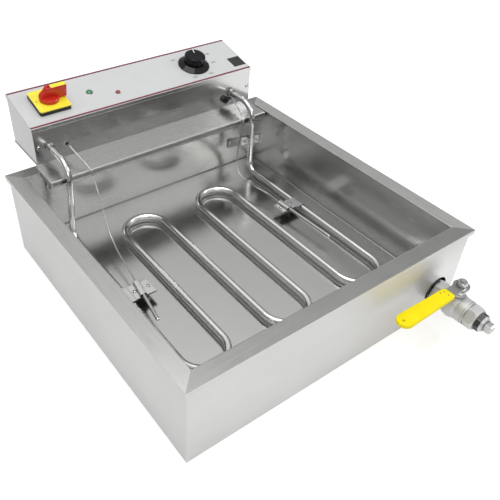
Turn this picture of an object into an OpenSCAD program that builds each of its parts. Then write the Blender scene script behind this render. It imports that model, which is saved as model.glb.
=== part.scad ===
// Countertop funnel cake fryer: a square double-walled tank with a ball-valve drain,
// and a lift-off control head that carries the tubular heater and its sensors.
// Origin at the centre of the tank's footprint, on the table. The drain faces -Y, +Z is up.

/* [Tank] */
// Width across the rim
tank_w = 610; // [608:1:680]
// Depth across the rim
tank_d = 610; // [606:1:680]
// Height of the rim's top face above the table
rim_z = 174; // [170:1:200]
// Width of the flat rim
rim_w = 28.5; // [24:0.5:29]
// Depth of the rim's folded hem
hem_h = 10; // [6:1:14]
// Distance from the rim's outer edge in to the outer wall
wall_inset = 5; // [4:0.5:8]
// Sheet thickness of the inner tank
tank_t = 1.5; // [1.2:0.1:2]
// Sheet thickness of the outer casing and the bottom pan
casing_t = 1.2; // [1:0.1:1.6]
// Height of the cooking floor above the table
floor_z = 38.5; // [36:0.5:41]
// Inside bend radius round the cooking floor
floor_r = 3; // [2:0.5:5]
// Height of the bottom pan's upturned edge
pan_lip = 12; // [8:1:20]

/* [Drain] */
// Distance from the right end of the rim in to the drain's axis
drain_inset = 56.5; // [52:0.5:70]
// Height of the drain's axis above the cooking floor
drain_rise = 17.5; // [11:0.5:20]
// Radius of the hole through the inner wall
drain_r = 10.5; // [8:0.5:10.5]
// Radius of the clearance hole in the outer wall
wall_hole_r = 28; // [26:1:36]
// Outer diameter of the drain pipe
pipe_d = 33.4; // [31:0.2:34]
// Bore of the pipe and the ball valve
port_d = 25; // [22:0.5:26]
// Outer diameter of the welded coupling
coupling_d = 42; // [40:1:46]
// Gap between the outer wall and the valve
valve_gap = 3; // [2:0.5:8]

/* [Ball valve] */
// Width across flats of the valve's hexagons
valve_af = 40; // [39:0.5:44]
// Diameter of the ball
ball_d = 38; // [37:0.5:39]
// Diameter of the round body over the ball
bulge_d = 52; // [51:0.5:54]
// Distance from the body's rear face to the stem's axis
stem_pos = 40; // [38:1:44]
// Distance from the stem's axis to the body's front face
body_front = 27; // [25:1:32]
// Length of the end piece in front of the body
end_len = 24; // [20:1:30]
// Depth of the pipe thread in each end
thread_len = 14; // [10:1:15]
// Height of the stem tower above the port's axis
tower_h = 30; // [29:0.5:38]
// Diameter of the stem
stem_d = 14; // [12:0.5:15]
// Distance from the stem to the end of the handle's sleeve
lever_len = 163; // [140:1:180]
// Length of the handle's sleeve
sleeve_len = 131; // [110:1:140]
// Width of the handle's sleeve at its far end
sleeve_w = 31; // [28:1:36]
// Thickness of the handle's sleeve
sleeve_h = 8; // [7:0.5:10]
// Width of the handle's steel bar
lever_w = 20; // [16:1:22]
// Thickness of the handle's steel bar
lever_t = 3; // [2.5:0.5:4]
// Width across flats of the reducing bushing
bushing_af = 32; // [30:1:36]
// Length of the reducing bushing's head
bushing_len = 14; // [10:1:18]
// Diameter of the drain plug's thread
plug_d = 20.5; // [18:0.5:21]
// Side of the drain plug's square head
plug_side = 16; // [14:1:19]
// Length of the drain plug's head
plug_len = 13; // [11:1:20]

/* [Control head] */
// Width of the control head
head_w = 521; // [515:1:530]
// Sideways offset of the head from the tank's centre
head_shift = 19; // [17:1:21]
// Depth of the control head
head_d = 112.4; // [108:0.2:130]
// Distance from the tank's rear edge in to the head's front face
head_lap = 3.6; // [2:0.2:6]
// Height of the head's front face
head_front_h = 76.9; // [74:0.1:90]
// Slope of the control panel
panel_tilt = 13.3; // [10:0.1:18]
// Sheet thickness of the head
head_t = 1.2; // [1:0.1:1.6]
// Depth of the panel lid's folded edge
lid_lip = 8; // [6:0.5:12]
// Width of the housing's inner flange
flange_w = 12; // [10:1:16]
// Thickness of the printed overlay
overlay_t = 0.5; // [0.3:0.1:0.8]
// Radius of the cord inlet in the rear wall
inlet_r = 14; // [11:0.5:15]
// Distance from the head's right end to the cord inlet
inlet_x = 60; // [50:1:90]

/* [Base plate] */
// Width of the base plate under the head
plate_w = 516; // [512:1:520]
// Sideways offset of the base plate from the tank's centre
plate_shift = 12.5; // [12:0.5:13]
// How far the plate reaches forward from the tank's rear edge
plate_reach = 74; // [70:0.5:75]
// Thickness of the base plate
plate_t = 2; // [1.5:0.5:2.5]
// Depth of the plate's turned-down front edge
plate_lip = 12; // [8:1:16]
// Drop of the hook plate inside the rear wall
hook_drop = 38; // [30:1:60]
// Gap between the hook plate and the inner wall
hook_gap = 6; // [4:0.5:8]

/* [Heater] */
// Diameter of the heating tube
tube_d = 12.5; // [11:0.1:12.6]
// Spacing of the heater's six legs
leg_pitch = 90; // [84:1:90]
// Gap between the heater and the cooking floor
heater_gap = 4.25; // [3.5:0.25:7]
// Distance from the tank's centre forward to the front bends' centres
front_bend_y = 165; // [150:1:180]
// Distance from the tank's centre back to the rear bends' centres
rear_bend_y = 153; // [140:1:155]
// Gap between the risers and the base plate's front edge
riser_gap = 5.6; // [5:0.1:6.5]
// Height of the heater's entry above the base plate
entry_h = 31; // [28:0.5:33]
// Radius of the upper bends
top_bend_r = 40; // [36:1:41]
// Radius of the lower bends
low_bend_r = 22; // [20:1:30]
// How far the left outer leg is drawn in towards its neighbour
left_draw = 2.25; // [0:0.25:4]
// Swell of the tube where a riser is joined to its leg
joint_swell = 0.1; // [0.1:0.05:0.5]
// Width across flats of the entry fittings
gland_af = 18; // [17:0.5:19]

/* [Sensors] */
// Diameter of the sensing bulbs
bulb_d = 7; // [6:0.5:8]
// Diameter of the capillary tubes
capillary_d = 2.5; // [2:0.1:3]
// Length of the thermostat's bulb
left_bulb_len = 107; // [90:1:110]
// Length of the limit switch's bulb
right_bulb_len = 152; // [120:1:156]
// Thickness of the bracket sheets
clamp_t = 1.2; // [1:0.1:1.5]

/* [Controls] */
// Side of the power switch's square base
switch_w = 64; // [60:1:66]
// Thickness of the switch's black base
switch_base_h = 8; // [6:0.5:10]
// Thickness of the switch's yellow plate
switch_plate_h = 2; // [1:0.5:3]
// Diameter of the red disc
disc_d = 39; // [36:1:42]
// Thickness of the red disc
disc_h = 7.7; // [6:0.1:9]
// Height of the red grip above the disc
grip_h = 20; // [16:1:24]
// Width of the red grip
grip_w = 11; // [9:1:13]
// Diameter of the thermostat knob's skirt
skirt_d = 69; // [60:1:72]
// Diameter of the thermostat knob's cap
cap_d = 46; // [40:1:48]
// Height of the thermostat knob
knob_h = 26; // [24:1:32]
// Number of finger flutes round the knob
flutes = 10; // [6:1:12]
// Diameter of the green lamp
green_d = 11.5; // [9:0.5:13]
// Diameter of the red lamp
red_d = 8; // [6:0.5:10]
// Diameter of the reset button
reset_d = 17; // [14:0.5:17]
// Travel of the reset button
reset_travel = 2.5; // [2:0.5:3]

/* [Hidden] */
$fn = 64;
// Clearance between fixed pieces that fit together
fit = 0.05;
// Clearance between pieces that turn or slide
run = 0.06;
// Rest gap between separate moving pieces
rest = 0.3;
// Overshoot of a cut past a face
cut = 1;
half_w = tank_w / 2;
half_d = tank_d / 2;
well_x = half_w - rim_w;
well_y = half_d - rim_w;
casing_x = half_w - wall_inset;
casing_y = half_d - wall_inset;
drain_x = half_w - drain_inset;
drain_z = floor_z + drain_rise;
pipe_r = pipe_d / 2;
port_r = port_d / 2;
ball_r = ball_d / 2;
// Stations along the drain, measured forward from the outer wall's face
coupling_back = -(casing_y - well_y - tank_t);
body_back = valve_gap;
stem_s = body_back + stem_pos;
body_end = stem_s + body_front;
end_face = body_end + end_len;
nose_len = 10;
seat_face = body_end - nose_len;
chamber_r = ball_r + 1.5;
collar_r = bulge_d / 2 - 3;
seat_reach = 8.5;
chamber_back = 2 * stem_s - seat_face;
bushing_face = end_face + bushing_len;
plug_seat = bushing_face - 12;
stem_y = -casing_y - stem_s;
tower_top = drain_z + tower_h;
lever_z = tower_top + 12;
// Control head
head_x0 = head_shift - head_w / 2;
head_x1 = head_shift + head_w / 2;
head_y0 = half_d - head_lap;
plate_top = rim_z + plate_t;
panel_z = plate_top + head_front_h;
lid_drop = overlay_t / cos(panel_tilt);
panel_len = head_d / cos(panel_tilt);
under_lid = -overlay_t - head_t;
plate_x0 = plate_shift - plate_w / 2;
plate_x1 = plate_shift + plate_w / 2;
plate_front = half_d - plate_reach;
hook_y = well_y - hook_gap;
// Panel items: across from the head's ends, up the slope from its front edge
switch_at = [head_x0 + 64.5, 58];
green_at = [head_x0 + 150.7, 58.3];
red_at = [head_x0 + 203.1, 35.9];
knob_at = [head_x1 - 118.3, 56.3];
shaft_r = 3;
spindle_r = 5;
skirt_h = 7.5;
// Heater
tube_r = tube_d / 2;
leg_z = floor_z + heater_gap + tube_r;
riser_y = plate_front - riser_gap - tube_r;
entry_z = plate_top + entry_h;
fitting_r = tube_r + 3.2;
// Sensors
bulb_r = bulb_d / 2;
capillary_r = capillary_d / 2;
clamp_z = leg_z + tube_r + fit;
bulb_z = clamp_z + clamp_t + bulb_r + fit;
left_bulb_at = [-193, 23];
left_bulb_turn = 9.4;
right_bulb_at = [186, 70];
right_bulb_turn = -2.3;
leg_end_x = 2.5 * leg_pitch;
left_leg_x = leg_end_x - left_draw;
right_entry = leg_end_x;
// Sine of the left riser's lean, 237/3125, whose cosine 3116/3125 is a short decimal too
lean_sine = 0.07584;
left_entry = left_leg_x - (entry_z - leg_z) * tan(asin(lean_sine));
reset_at = [209, plate_top + 17.6];
left_capillary_at = [-174.6, plate_top + 26.4];
right_capillary_at = [223.5, plate_top + 16.3];
reset_r = reset_d / 2;

// Shared shapes

module slab(x, y, z0, z1) {
    translate([-x, -y, z0]) cube([2 * x, 2 * y, z1 - z0]);
}

module box(p0, p1) {
    translate(p0) cube(p1 - p0);
}

module hexagon(af) {
    circle(r = af / 2 / cos(30), $fn = 6);
}

module hex_nut(af, h) {
    intersection() {
        linear_extrude(h) hexagon(af);
        union() {
            cylinder(h = h * 0.7, r = af / 2 * 1.16);
            translate([0, 0, h * 0.7 - 0.01])
                cylinder(h = h * 0.3 + 0.01, r1 = af / 2 * 1.16, r2 = af / 2 * 0.98);
        }
    }
}

module rounded_square(w, d, r) {
    square([w - 2 * r, d], center = true);
    square([w, d - 2 * r], center = true);
    for (x = [-1, 1], y = [-1, 1]) translate([x * (w / 2 - r), y * (d / 2 - r)]) circle(r);
}

module round_bottom(half, z0, z1, r) {
    translate([-half, z0 + r]) square([2 * half, z1 - z0 - r]);
    translate([-half + r, z0]) square([2 * (half - r), r]);
    for (s = [-1, 1]) translate([s * (half - r), z0 + r]) circle(r);
}

// A block whose bottom edges are folded to a radius, the corners mitred and welded
module folded_block(x, y, z0, z1, r) {
    intersection() {
        rotate([90, 0, 0]) translate([0, 0, -y]) linear_extrude(2 * y) round_bottom(x, z0, z1, r);
        rotate([90, 0, 90]) translate([0, 0, -x]) linear_extrude(2 * x) round_bottom(y, z0, z1, r);
    }
}

// Local Z runs forward along the drain from the outer wall's face, local Y is up
module along_drain(s = 0) {
    translate([drain_x, -casing_y - s, drain_z]) rotate([90, 0, 0]) children();
}

// Local Z is the panel's outward normal, Y runs up the slope, h = 0 is the overlay's face
module on_panel(at = [0, 0], h = 0) {
    translate([0, head_y0, panel_z]) rotate([panel_tilt, 0, 0])
        translate([at[0], at[1], h]) children();
}

// Local Z points forward out of the head's front face, local Y is up
module on_front(x, z, s = 0) {
    translate([x, head_y0 + head_t - s, z]) rotate([90, 0, 0]) children();
}

// Tank

module outer_casing() {
    color("silver") difference() {
        slab(casing_x, casing_y, 0, rim_z - tank_t);
        slab(casing_x - casing_t, casing_y - casing_t, -cut, rim_z);
        along_drain() cylinder(h = 4 * casing_t, r = wall_hole_r, center = true);
    }
}

module inner_tank() {
    color("gainsboro") difference() {
        union() {
            folded_block(well_x + tank_t, well_y + tank_t, floor_z - tank_t, rim_z, floor_r + tank_t);
            slab(half_w, half_d, rim_z - tank_t, rim_z);
            difference() {
                slab(half_w, half_d, rim_z - hem_h, rim_z);
                slab(half_w - tank_t, half_d - tank_t, rim_z - hem_h - cut, rim_z - tank_t);
            }
        }
        folded_block(well_x, well_y, floor_z, rim_z + cut, floor_r);
        along_drain(coupling_back) cylinder(h = 6 * tank_t, r = drain_r, center = true);
    }
}

module bottom_pan() {
    x = casing_x - casing_t;
    y = casing_y - casing_t;
    color("darkgray") difference() {
        slab(x, y, 0, pan_lip);
        slab(x - casing_t, y - casing_t, casing_t, pan_lip + cut);
    }
}

// Drain

module drain_coupling() {
    len = -coupling_back - 1;
    color("silver") along_drain(coupling_back) difference() {
        cylinder(h = len, d = coupling_d);
        translate([0, 0, -cut]) cylinder(h = len + 2 * cut, r = drain_r);
        translate([0, 0, len - thread_len]) cylinder(h = thread_len + cut, r = pipe_r + fit);
    }
}

module drain_nipple() {
    color("silver") along_drain(-1 - thread_len) difference() {
        cylinder(h = 2 * thread_len + valve_gap + 1, r = pipe_r);
        translate([0, 0, -cut]) cylinder(h = 3 * thread_len + valve_gap, r = port_r);
    }
}

module valve_body() {
    neck_r = valve_af / 2 - 1.5;
    shoulder = chamber_back - body_back - 2;
    color("silver") difference() {
        union() {
            along_drain(body_back) hex_nut(valve_af, stem_pos - body_front + 4);
            along_drain(body_back) rotate_extrude() polygon([[0, 1], [neck_r, 1], [neck_r, shoulder - 4],
                [collar_r - 1, shoulder], [collar_r, shoulder + 4], [collar_r, body_end - body_back],
                [0, body_end - body_back]]);
            along_drain(stem_s) sphere(d = bulge_d, $fn = 96);
            translate([drain_x, stem_y, drain_z]) {
                cylinder(h = tower_h - 6, d = stem_d + 14);
                cylinder(h = tower_h, d = stem_d + 10);
            }
        }
        along_drain(body_back - cut) cylinder(h = body_end, r = port_r);
        along_drain(body_back - cut) cylinder(h = thread_len + cut, r = pipe_r + fit);
        along_drain(chamber_back) cylinder(h = body_end, r = chamber_r);
        translate([drain_x, stem_y, drain_z]) cylinder(h = tower_h + cut, d = stem_d + 2 * run);
    }
}

module valve_end() {
    color("silver") difference() {
        union() {
            along_drain(seat_face) cylinder(h = nose_len, r = chamber_r - fit);
            along_drain(body_end) cylinder(h = 4, r = collar_r - 0.6);
            along_drain(body_end + 4) hex_nut(valve_af, end_len - 4);
        }
        along_drain(seat_face - cut) cylinder(h = end_face, r = port_r);
        along_drain(end_face - thread_len) cylinder(h = thread_len + cut, r = pipe_r + fit);
    }
}

module valve_seats() {
    color("white") difference() {
        for (z0 = [chamber_back, stem_s + seat_reach]) along_drain(z0)
            cylinder(h = seat_face - stem_s - seat_reach, r = chamber_r - fit);
        along_drain(chamber_back - cut) cylinder(h = body_end, r = port_r);
        along_drain(stem_s) sphere(r = ball_r + rest, $fn = 96);
    }
}

module packing_nut() {
    color("silver") translate([drain_x, stem_y, tower_top]) difference() {
        hex_nut(22, 6);
        translate([0, 0, -cut]) cylinder(h = 8, d = stem_d + 2 * run);
    }
}

module reducing_bushing() {
    rim_h = 4;
    color("silver") difference() {
        union() {
            along_drain(end_face - thread_len) cylinder(h = thread_len, r = pipe_r);
            along_drain(end_face) cylinder(h = bushing_len - rim_h, d = bushing_af / cos(22.5), $fn = 8);
            along_drain(bushing_face - rim_h) cylinder(h = rim_h, d1 = bushing_af - 0.5, d2 = bushing_af - 5);
        }
        along_drain(end_face - thread_len - cut) cylinder(h = thread_len + bushing_len, r = plug_d / 2 - 2);
        along_drain(plug_seat - 4) cylinder(h = bushing_face, r = plug_d / 2 + run);
    }
}

module drain_plug() {
    color("silver") {
        along_drain(plug_seat) cylinder(h = bushing_face + 1 - plug_seat, d = plug_d);
        along_drain(bushing_face + 1) intersection() {
            linear_extrude(plug_len) rounded_square(plug_side, plug_side, 1.5);
            union() {
                cylinder(h = plug_len - 3, r = plug_side);
                translate([0, 0, plug_len - 3]) cylinder(h = 3, r1 = plug_side * 0.72, r2 = plug_side * 0.52);
            }
        }
    }
}

// Everything on the stem turns with the lever. Closed, the ball's port lies across the drain
slot_w = 6;
slot_h = 4;

module valve_ball() {
    color("silver") translate([drain_x, stem_y, drain_z]) difference() {
        sphere(r = ball_r, $fn = 96);
        rotate([0, 90, 0]) cylinder(h = 3 * ball_r, r = port_r, center = true);
        translate([-ball_r, -slot_w / 2, ball_r - slot_h]) cube([2 * ball_r, slot_w, 2 * slot_h]);
    }
}

module valve_stem() {
    tongue = slot_h - fit;
    color("silver") translate([drain_x, stem_y, 0]) {
        translate([-stem_d / 2 + 1, -slot_w / 2 + fit, drain_z + ball_r - tongue])
            cube([stem_d - 2, slot_w - 2 * fit, tongue + 1]);
        translate([0, 0, drain_z + ball_r + 0.5]) cylinder(h = lever_z - drain_z - ball_r - 0.5, d = stem_d);
        translate([0, 0, lever_z]) intersection() {
            cylinder(h = 13, d = stem_d - 4);
            translate([-stem_d, -3.5, 0]) cube([2 * stem_d, 7, lever_t]);
        }
        translate([0, 0, lever_z + lever_t]) cylinder(h = 10.5, d = 7);
    }
}

module valve_lever() {
    color("silver") translate([drain_x, stem_y, lever_z]) difference() {
        union() {
            cylinder(h = lever_t, r = stem_d / 2 + 8);
            translate([-lever_len + sleeve_w / 2, -lever_w / 2, 0])
                cube([lever_len - sleeve_w / 2, lever_w, lever_t]);
        }
        translate([0, 0, -cut]) intersection() {
            cylinder(h = lever_t + 2 * cut, r = stem_d / 2 - 2 + fit);
            translate([-stem_d, -3.5 - fit, 0]) cube([2 * stem_d, 7 + 2 * fit, 3 * lever_t]);
        }
        translate([-lever_len + sleeve_w / 2 + 4, 0, -cut]) cylinder(h = 3 * lever_t, r = 2.5);
    }
}

// Rounded puck, one end of the sleeve's blend
module puck(r, h, edge) {
    rotate_extrude() {
        square([r - edge, h]);
        translate([0, edge]) square([r, h - 2 * edge]);
        for (z = [edge, h - edge]) translate([r - edge, z]) circle(edge, $fn = 16);
    }
}

module lever_sleeve() {
    near = sleeve_len - lever_len;
    near_w = sleeve_w - 5;
    corner_r = 6;
    edge_r = 2.5;
    z0 = lever_z + lever_t / 2 - sleeve_h / 2;
    color("gold") translate([drain_x, stem_y, 0]) difference() {
        hull() {
            translate([-lever_len + sleeve_w / 2, 0, z0]) puck(sleeve_w / 2, sleeve_h, edge_r, $fn = 48);
            for (s = [-1, 1]) translate([near - corner_r, s * (near_w / 2 - corner_r), z0])
                puck(corner_r, sleeve_h, edge_r, $fn = 32);
        }
        translate([-lever_len + sleeve_w / 2 - fit, -lever_w / 2 - fit, lever_z - fit])
            cube([lever_len, lever_w + 2 * fit, lever_t + 2 * fit]);
        translate([-lever_len + sleeve_w / 2 - 5, 0, 0]) cylinder(h = 2 * lever_z, r = 2.5);
    }
}

module lever_nut() {
    color("silver") translate([drain_x, stem_y, lever_z + lever_t]) difference() {
        union() {
            cylinder(h = 1.5, r = 9);
            translate([0, 0, 1.5]) hex_nut(17, 7.5);
        }
        translate([0, 0, -cut]) cylinder(h = 20, r = 3.5 + fit);
    }
}

// Head supports

module base_plate() {
    color("silver") {
        box([plate_x0, plate_front, rim_z], [plate_x1, head_y0, plate_top]);
        box([head_x0, head_y0 - cut, rim_z], [plate_x1, head_y0 + head_d, plate_top]);
        box([plate_x0, plate_front, plate_top - plate_lip], [plate_x1, plate_front + plate_t, rim_z]);
        for (x = [plate_x0, plate_x1 - plate_t])
            box([x, plate_front + plate_t, plate_top - plate_lip], [x + plate_t, well_y - 2, rim_z]);
    }
}

module hook_plate() {
    color("silver") box([head_x0 + plate_t, hook_y - plate_t, rim_z - hook_drop],
        [plate_x1 - plate_t, hook_y, rim_z]);
}

// Head housing: a folded tray with an inner flange, its top edges cut to the panel's slope

module slope_profile(inset, z0, lift) {
    y0 = inset;
    y1 = head_d - inset;
    top = head_front_h - lift / cos(panel_tilt);
    polygon([[y0, z0], [y1, z0], [y1, top + y1 * tan(panel_tilt)], [y0, top + y0 * tan(panel_tilt)]]);
}

// Extrudes a profile of the head along its width, in from each end by inset
module along_head(inset) {
    translate([head_x0 + inset, head_y0, plate_top]) rotate([90, 0, 90])
        linear_extrude(head_w - 2 * inset) children();
}

module head_housing() {
    skin = overlay_t + head_t;
    color("silver") difference() {
        along_head(head_t) slope_profile(head_t, 0, skin);
        along_head(2 * head_t) slope_profile(2 * head_t, head_t, -skin);
        along_head(2 * head_t + flange_w) slope_profile(2 * head_t + flange_w, -cut, 2 * skin);
        for (x = [-left_entry, right_entry]) on_front(x, entry_z)
            cylinder(h = 4 * head_t, r = fitting_r + fit, center = true);
        on_front(reset_at[0], reset_at[1]) cylinder(h = 4 * head_t, r = 5 + fit, center = true);
        for (p = [left_capillary_at, right_capillary_at]) on_front(p[0], p[1])
            cylinder(h = 4 * head_t, r = capillary_r + 1 + fit, center = true);
        for (x = [head_x0 + 9.7, head_x1 - 8.1]) on_front(x, plate_top + 34)
            cylinder(h = 4 * head_t, r = 2 + fit, center = true);
        translate([head_x1 - inlet_x, head_y0 + head_d - head_t, plate_top + 45]) rotate([90, 0, 0])
            cylinder(h = 6 * head_t, r = inlet_r, center = true);
    }
}

module lid_outline(inset, drop) {
    y0 = inset;
    y1 = head_d - inset;
    top = head_front_h - lid_drop - drop / cos(panel_tilt);
    polygon([[y0, head_front_h - lid_lip], [y0, top + y0 * tan(panel_tilt)],
        [y1, top + y1 * tan(panel_tilt)], [y1, head_front_h - lid_lip + head_d * tan(panel_tilt)]]);
}

module lid_holes(grow) {
    on_panel(switch_at) cylinder(h = 10, r = spindle_r + 3, center = true);
    on_panel(green_at) cylinder(h = 10, d = green_d + grow, center = true);
    on_panel(red_at) cylinder(h = 10, d = red_d + grow, center = true);
    on_panel(knob_at) cylinder(h = 10, r = shaft_r + 3, center = true);
}

module panel_lid() {
    color("silver") difference() {
        along_head(0) lid_outline(0, 0);
        along_head(head_t) lid_outline(head_t, head_t);
        along_head(head_t) translate([0, -lid_lip / 2]) lid_outline(head_t, head_t);
        lid_holes(2 * fit);
    }
}

module panel_overlay() {
    color("whitesmoke") difference() {
        on_panel([head_x0 + 0.5, 0.8], -overlay_t) cube([head_w - 1, panel_len - 1.6, overlay_t]);
        lid_holes(2 * fit);
    }
}

module housing_screws() {
    color("silver") for (x = [head_x0 + 9.7, head_x1 - 8.1]) on_front(x, plate_top + 34) {
        translate([0, 0, -10]) cylinder(h = 10, r = 2);
        difference() {
            cylinder(h = 1.8, r1 = 4.4, r2 = 3.2);
            for (a = [0, 90]) rotate(a) translate([-2.4, -0.45, 0.9]) cube([4.8, 0.9, 2]);
        }
    }
}

// Power switch

module switch_base() {
    color("black") on_panel(switch_at) difference() {
        linear_extrude(switch_base_h) rounded_square(switch_w, switch_w, 4);
        translate([0, 0, -cut]) cylinder(h = 20, r = spindle_r + 2);
    }
}

module switch_plate() {
    color("yellow") on_panel(switch_at, switch_base_h) difference() {
        linear_extrude(switch_plate_h) rounded_square(switch_w, switch_w, 4);
        translate([0, 0, -cut]) cylinder(h = 20, r = spindle_r + 2);
    }
}

module switch_contacts() {
    color("dimgray") on_panel(switch_at, under_lid) difference() {
        union() {
            translate([0, 0, -10]) linear_extrude(10) rounded_square(48, 48, 3);
            for (i = [0:2]) translate([0, 0, -23 - 13 * i])
                linear_extrude(12) rounded_square(44, 46 - 2 * i, 2);
            translate([0, 0, -49]) linear_extrude(42) square(30, center = true);
        }
        translate([0, 0, -12]) cylinder(h = 13, r = spindle_r + run);
    }
}

module switch_handle() {
    z0 = switch_base_h + switch_plate_h + rest;
    r = disc_d / 2;
    slope = grip_h * 0.7;
    color("red") on_panel(switch_at) difference() {
        union() {
            translate([0, 0, z0]) cylinder(h = disc_h - 1, r = r);
            translate([0, 0, z0 + disc_h - 1]) cylinder(h = 1, r1 = r, r2 = r - 1);
            translate([0, 0, under_lid - 10]) cylinder(h = z0 - under_lid + 12, r = spindle_r);
            translate([0, grip_w / 2, z0]) rotate([90, 0, 0]) linear_extrude(grip_w)
                polygon([[-r + 0.5, disc_h - 0.5], [-r + slope, disc_h + grip_h], [r + 14.5, disc_h + grip_h],
                    [r + 14.5, 1.5], [0, 1.5]]);
        }
        translate([-r + slope + 4.5, 0, z0 + disc_h + grip_h - 6]) cylinder(h = 8, r = 2.6);
    }
}

module handle_strip() {
    r = disc_d / 2;
    z0 = switch_base_h + switch_plate_h + rest + disc_h + grip_h;
    x0 = -r + grip_h * 0.7 + 8.5;
    color("yellow") on_panel(switch_at, z0) translate([x0, -grip_w / 2 + 0.5, 0])
        cube([r + 14 - x0, grip_w - 1, 0.4]);
}

// Lamps

module lamp_bezels() {
    color("silver") for (l = [[green_at, green_d], [red_at, red_d]]) on_panel(l[0]) difference() {
        cylinder(h = 1, d1 = l[1] + 3.4, d2 = l[1] + 2);
        translate([0, 0, -cut]) cylinder(h = 4, d = l[1] + 2 * fit);
    }
}

module lamp(at, d) {
    on_panel(at, under_lid - 18) cylinder(h = 18 - under_lid + 1.5, d = d);
    on_panel(at, 1.5) intersection() {
        cylinder(h = d, d = d);
        translate([0, 0, 2.2 - d]) sphere(d = 2 * d);
    }
    on_panel(at, under_lid - 6) difference() {
        cylinder(h = 6, d = d + 5);
        translate([0, 0, -cut]) cylinder(h = 8, d = d - 1);
    }
}

module green_lamp() {
    color("green") lamp(green_at, green_d);
}

module red_lamp() {
    color("red") lamp(red_at, red_d);
}

// Thermostat: its body under the lid, the knob on its shaft

module thermostat_body() {
    color("dimgray") on_panel(knob_at, under_lid) difference() {
        union() {
            translate([0, 0, -2]) linear_extrude(2) rounded_square(56, 30, 3);
            translate([0, 0, -30]) linear_extrude(28.5) rounded_square(46, 38, 3);
            translate([0, 0, -36]) cylinder(h = 7, r = 9);
            for (x = [-16, 0, 16]) translate([x - 3, 19, -26]) cube([6, 8, 1]);
        }
        translate([0, 0, -16]) cylinder(h = 20, r = shaft_r + run);
    }
}

module thermostat_shaft() {
    color("silver") on_panel(knob_at) difference() {
        translate([0, 0, under_lid - 15]) cylinder(h = 15 - under_lid + knob_h - 8, r = shaft_r);
        translate([-5, 1.8, skirt_h + 3]) cube([10, 5, knob_h]);
    }
}

module knob_skirt() {
    color("black") on_panel(knob_at, rest) difference() {
        union() {
            cylinder(h = 1.2, d = skirt_d);
            translate([0, 0, 1.2]) cylinder(h = skirt_h - 1.2, d1 = skirt_d, d2 = cap_d + 1);
        }
        translate([0, 0, -cut]) cylinder(h = 10, r = shaft_r + fit);
    }
}

module control_knob() {
    r = cap_d / 2;
    h = knob_h - skirt_h - rest;
    color("black") on_panel(knob_at, skirt_h + rest) difference() {
        rotate_extrude() polygon([[0, 0], [r - 1.6, 0], [r - 1.3, 2], [r - 0.2, h - 7], [r, h - 5],
            [r - 0.6, h - 2.6], [r - 2.4, h - 0.9], [r - 5, h], [0, h]]);
        for (i = [0:flutes - 1]) rotate(360 / flutes * (i + 0.5)) translate([r + 2, 0, -cut])
            cylinder(h = h - 5, r = 4.4);
        translate([0, 0, -cut]) difference() {
            cylinder(h = h - 7, r = shaft_r + fit);
            translate([-5, 1.8 + fit, 4]) cube([10, 5, h]);
        }
    }
}

// Over-temperature limit with its manual reset

module limit_switch() {
    color("dimgray") on_front(reset_at[0], reset_at[1], -head_t) difference() {
        union() {
            translate([0, 0, -8]) cylinder(h = 8, r = 7);
            translate([-8, 0, -27]) cylinder(h = 20, r = 13);
            for (x = [-14, -2]) translate([x - 3, -0.5, -34]) cube([6, 1, 8]);
        }
        translate([0, 0, -11]) cylinder(h = 12, r = 2.5 + run);
    }
}

module reset_collar() {
    color("silver") on_front(reset_at[0], reset_at[1]) difference() {
        union() {
            cylinder(h = 1.2, r = reset_r - 1.2);
            translate([0, 0, -head_t]) cylinder(h = head_t + 1, r = 5);
        }
        translate([0, 0, -5]) cylinder(h = 10, r = 2.5 + run);
    }
}

module reset_button() {
    z0 = 1.2 + reset_travel + rest;
    color("black") on_front(reset_at[0], reset_at[1]) {
        translate([0, 0, -8]) cylinder(h = 8 + z0 + 1, r = 2.5);
        translate([0, 0, z0]) cylinder(h = 1.5, r = reset_r);
        translate([0, 0, z0 + 1.5]) intersection() {
            cylinder(h = 5, r = reset_r);
            translate([0, 0, 5 - reset_r * 1.25]) sphere(r = reset_r * 1.25);
        }
    }
}

// Electrical parts inside the head, standing on the base plate's rear edge

module contactor() {
    w = 60;
    d = 44;
    x0 = head_shift - 60;
    y0 = head_y0 + 40;
    color("dimgray") {
        box([x0, y0, plate_top], [x0 + w, y0 + d, plate_top + 4]);
        box([x0 + 4, y0 + 2, plate_top + 3.9], [x0 + w - 4, y0 + d - 2, plate_top + 48]);
        for (i = [0:3]) translate([x0 + 12 + 12 * i, y0 + d / 2, plate_top + 47]) {
            box([-4, -16, 0], [4, -8, 4]);
            box([-4, 8, 0], [4, 16, 4]);
        }
    }
}

module terminal_block() {
    x0 = head_x1 - inlet_x - 90;
    y0 = head_y0 + 66;
    color("ivory") difference() {
        union() {
            box([x0, y0, plate_top], [x0 + 54, y0 + 22, plate_top + 16]);
            for (i = [0:3]) box([x0 + 17 * i, y0, plate_top], [x0 + 3 + 17 * i, y0 + 22, plate_top + 22]);
        }
        for (i = [0:2], y = [5, 17]) translate([x0 + 10 + 17 * i, y0 + y, plate_top + 8])
            cylinder(h = 20, r = 2.5);
    }
}

// Heater: one tube, bent into six legs, that rises at both ends into the head

module leg(x, y0, y1) {
    translate([x, y0, leg_z]) rotate([-90, 0, 0]) cylinder(h = y1 - y0, r = tube_r);
}

module flat_bend(x0, x1, y, start) {
    translate([(x0 + x1) / 2, y, leg_z]) rotate(start) rotate_extrude(angle = 180)
        translate([abs(x1 - x0) / 2, 0]) circle(tube_r);
}

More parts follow.
